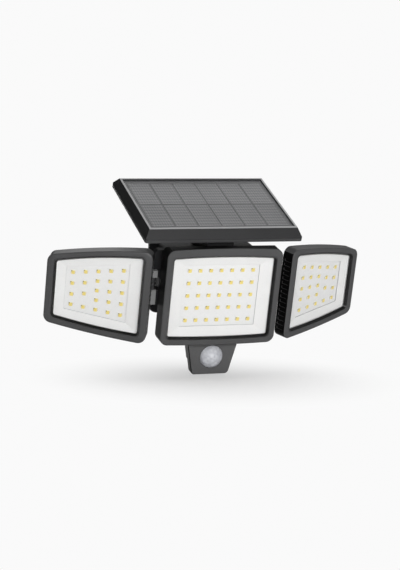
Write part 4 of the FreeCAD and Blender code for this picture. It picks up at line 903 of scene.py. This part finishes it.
def flat_sheet(name, corners, material):
    """One flat face of the studio, which isn't part of the light."""
    work = bmesh.new()
    work.faces.new([work.verts.new(corner) for corner in corners])
    piece = into_scene(name, work, (material,))
    return piece


flat_sheet("floor", [(x, y, GROUND) for x, y in ((-4, -4), (4, -4), (4, 4), (-4, 4))], floor_finish())
print("floor at", round(GROUND, 4))

# %% [markdown]
# The left walls of the real light are almost black, because nothing bright stands on that side.
# Darker plastic would be dark from every side. A photographer stands a black card there, out of
# the picture, and the card here does the same work and is hidden from the camera.

# %% Black card
CARD_AT, CARD_TOP = -0.75, 1.2
CARD_NEAR, CARD_FAR = -1.3, 2.6
CARD = speckled("black_card", (0.004, 0.004, 0.004), (0.006, 0.006, 0.006), 0.9)
card_corners = ((CARD_NEAR, GROUND), (CARD_FAR, GROUND), (CARD_FAR, CARD_TOP), (CARD_NEAR, CARD_TOP))
card = flat_sheet("black_card", [(CARD_AT, y, z) for y, z in card_corners], CARD)
card.visible_camera = False
print("card at x =", CARD_AT)

# %% [markdown]
# The ground behind the light is white, but a white world would also light it from all round and
# wash out its black plastic. Light Path tells the rays apart: those from the camera, also
# through something clear, see white. All others see a dim grey that only lifts the shadows.

# %% World
DIM = 0.12


def studio_world():
    finish = Finish(bpy.data.worlds.new("studio"))
    rays = finish.node("ShaderNodeLightPath")
    seen = rays["Is Camera Ray"].math("MAXIMUM", rays["Is Transmission Ray"])
    dim, pale = [finish.node("ShaderNodeBackground", None, {"Color": WHITE, "Strength": strength})
                 for strength in (DIM, PALE)]
    mixed = finish.mixed(seen, dim["Background"], pale["Background"])
    return finish.output(mixed, "ShaderNodeOutputWorld")


bpy.context.scene.world = studio_world()
print(bpy.context.scene.world.name, "world ready")

# %% [markdown]
# A studio lights a black lamp with large soft boxes, since a bare bulb would leave hard spots
# on its frames. A wide one stands in front, a larger one hangs overhead and gives the shadow
# under the light, and a low strip behind draws a thin edge on the housings. Area lights are the
# soft boxes of Blender: the larger, the softer.

# %% Soft lights
AIM = (0, -0.1, 0)


def softbox(name, place, wide, high, watts):
    light = bpy.data.lights.new(name, "AREA")
    light.shape = "RECTANGLE"
    light.size = wide
    light.size_y = high
    light.energy = watts
    thing = bpy.data.objects.new(name, light)
    thing.location = place
    thing.rotation_euler = (Vector(AIM) - Vector(place)).to_track_quat("-Z", "Y").to_euler()
    bpy.context.scene.collection.objects.link(thing)


softbox("front_light", (-0.25, -1.9, 0.25), wide=1.5, high=0.6, watts=27.5)
softbox("top_light", (0.35, 0.35, 1.4), wide=2.0, high=2.4, watts=19)
softbox("back_light", (0.3, 1.8, 0.05), wide=1.4, high=0.25, watts=9)
print("lights ready")

# %% [markdown]
# The camera stands to the left of the light and a little above it, far enough back that the
# heads hardly converge. Its place could be found by trial. The LEDs are a regular grid, though,
# so the way that the grid leans and shrinks in the photograph gives the direction and distance.

# %% Camera
YAW, RISE = math.radians(-19.936), math.radians(3.583)
EYE = (-616.75, -1761.55, 104.78)
FOCAL_PIXELS, PICTURE_PIXELS, SENSOR = 1790.3, 570.0, 36.0

camera = bpy.data.cameras.new("camera")
camera.sensor_fit = "AUTO"
camera.sensor_width = SENSOR
camera.lens = FOCAL_PIXELS * SENSOR / PICTURE_PIXELS
camera.clip_end = 50
eye = bpy.data.objects.new("camera", camera)
back = Vector((math.sin(YAW) * math.cos(RISE), -math.cos(YAW) * math.cos(RISE), math.sin(RISE)))
right = Vector((math.cos(YAW), math.sin(YAW), 0))
up = back.cross(right)
eye.matrix_world = Matrix((right, up, back)).transposed().to_4x4()
eye.location = Vector(EYE) * MM
bpy.context.scene.collection.objects.link(eye)
bpy.context.scene.camera = eye
bpy.context.scene.view_settings.view_transform = "Standard"
print("camera at", [round(v, 3) for v in eye.location], "lens", round(camera.lens, 2))

# %% [markdown]
# A bevel or a dome could push a surface out of the real outline. The cell brings the scene up to
# date, so that the dressed light's box could be measured against that of the solids.

# %% Sizes
bpy.context.view_layer.update()
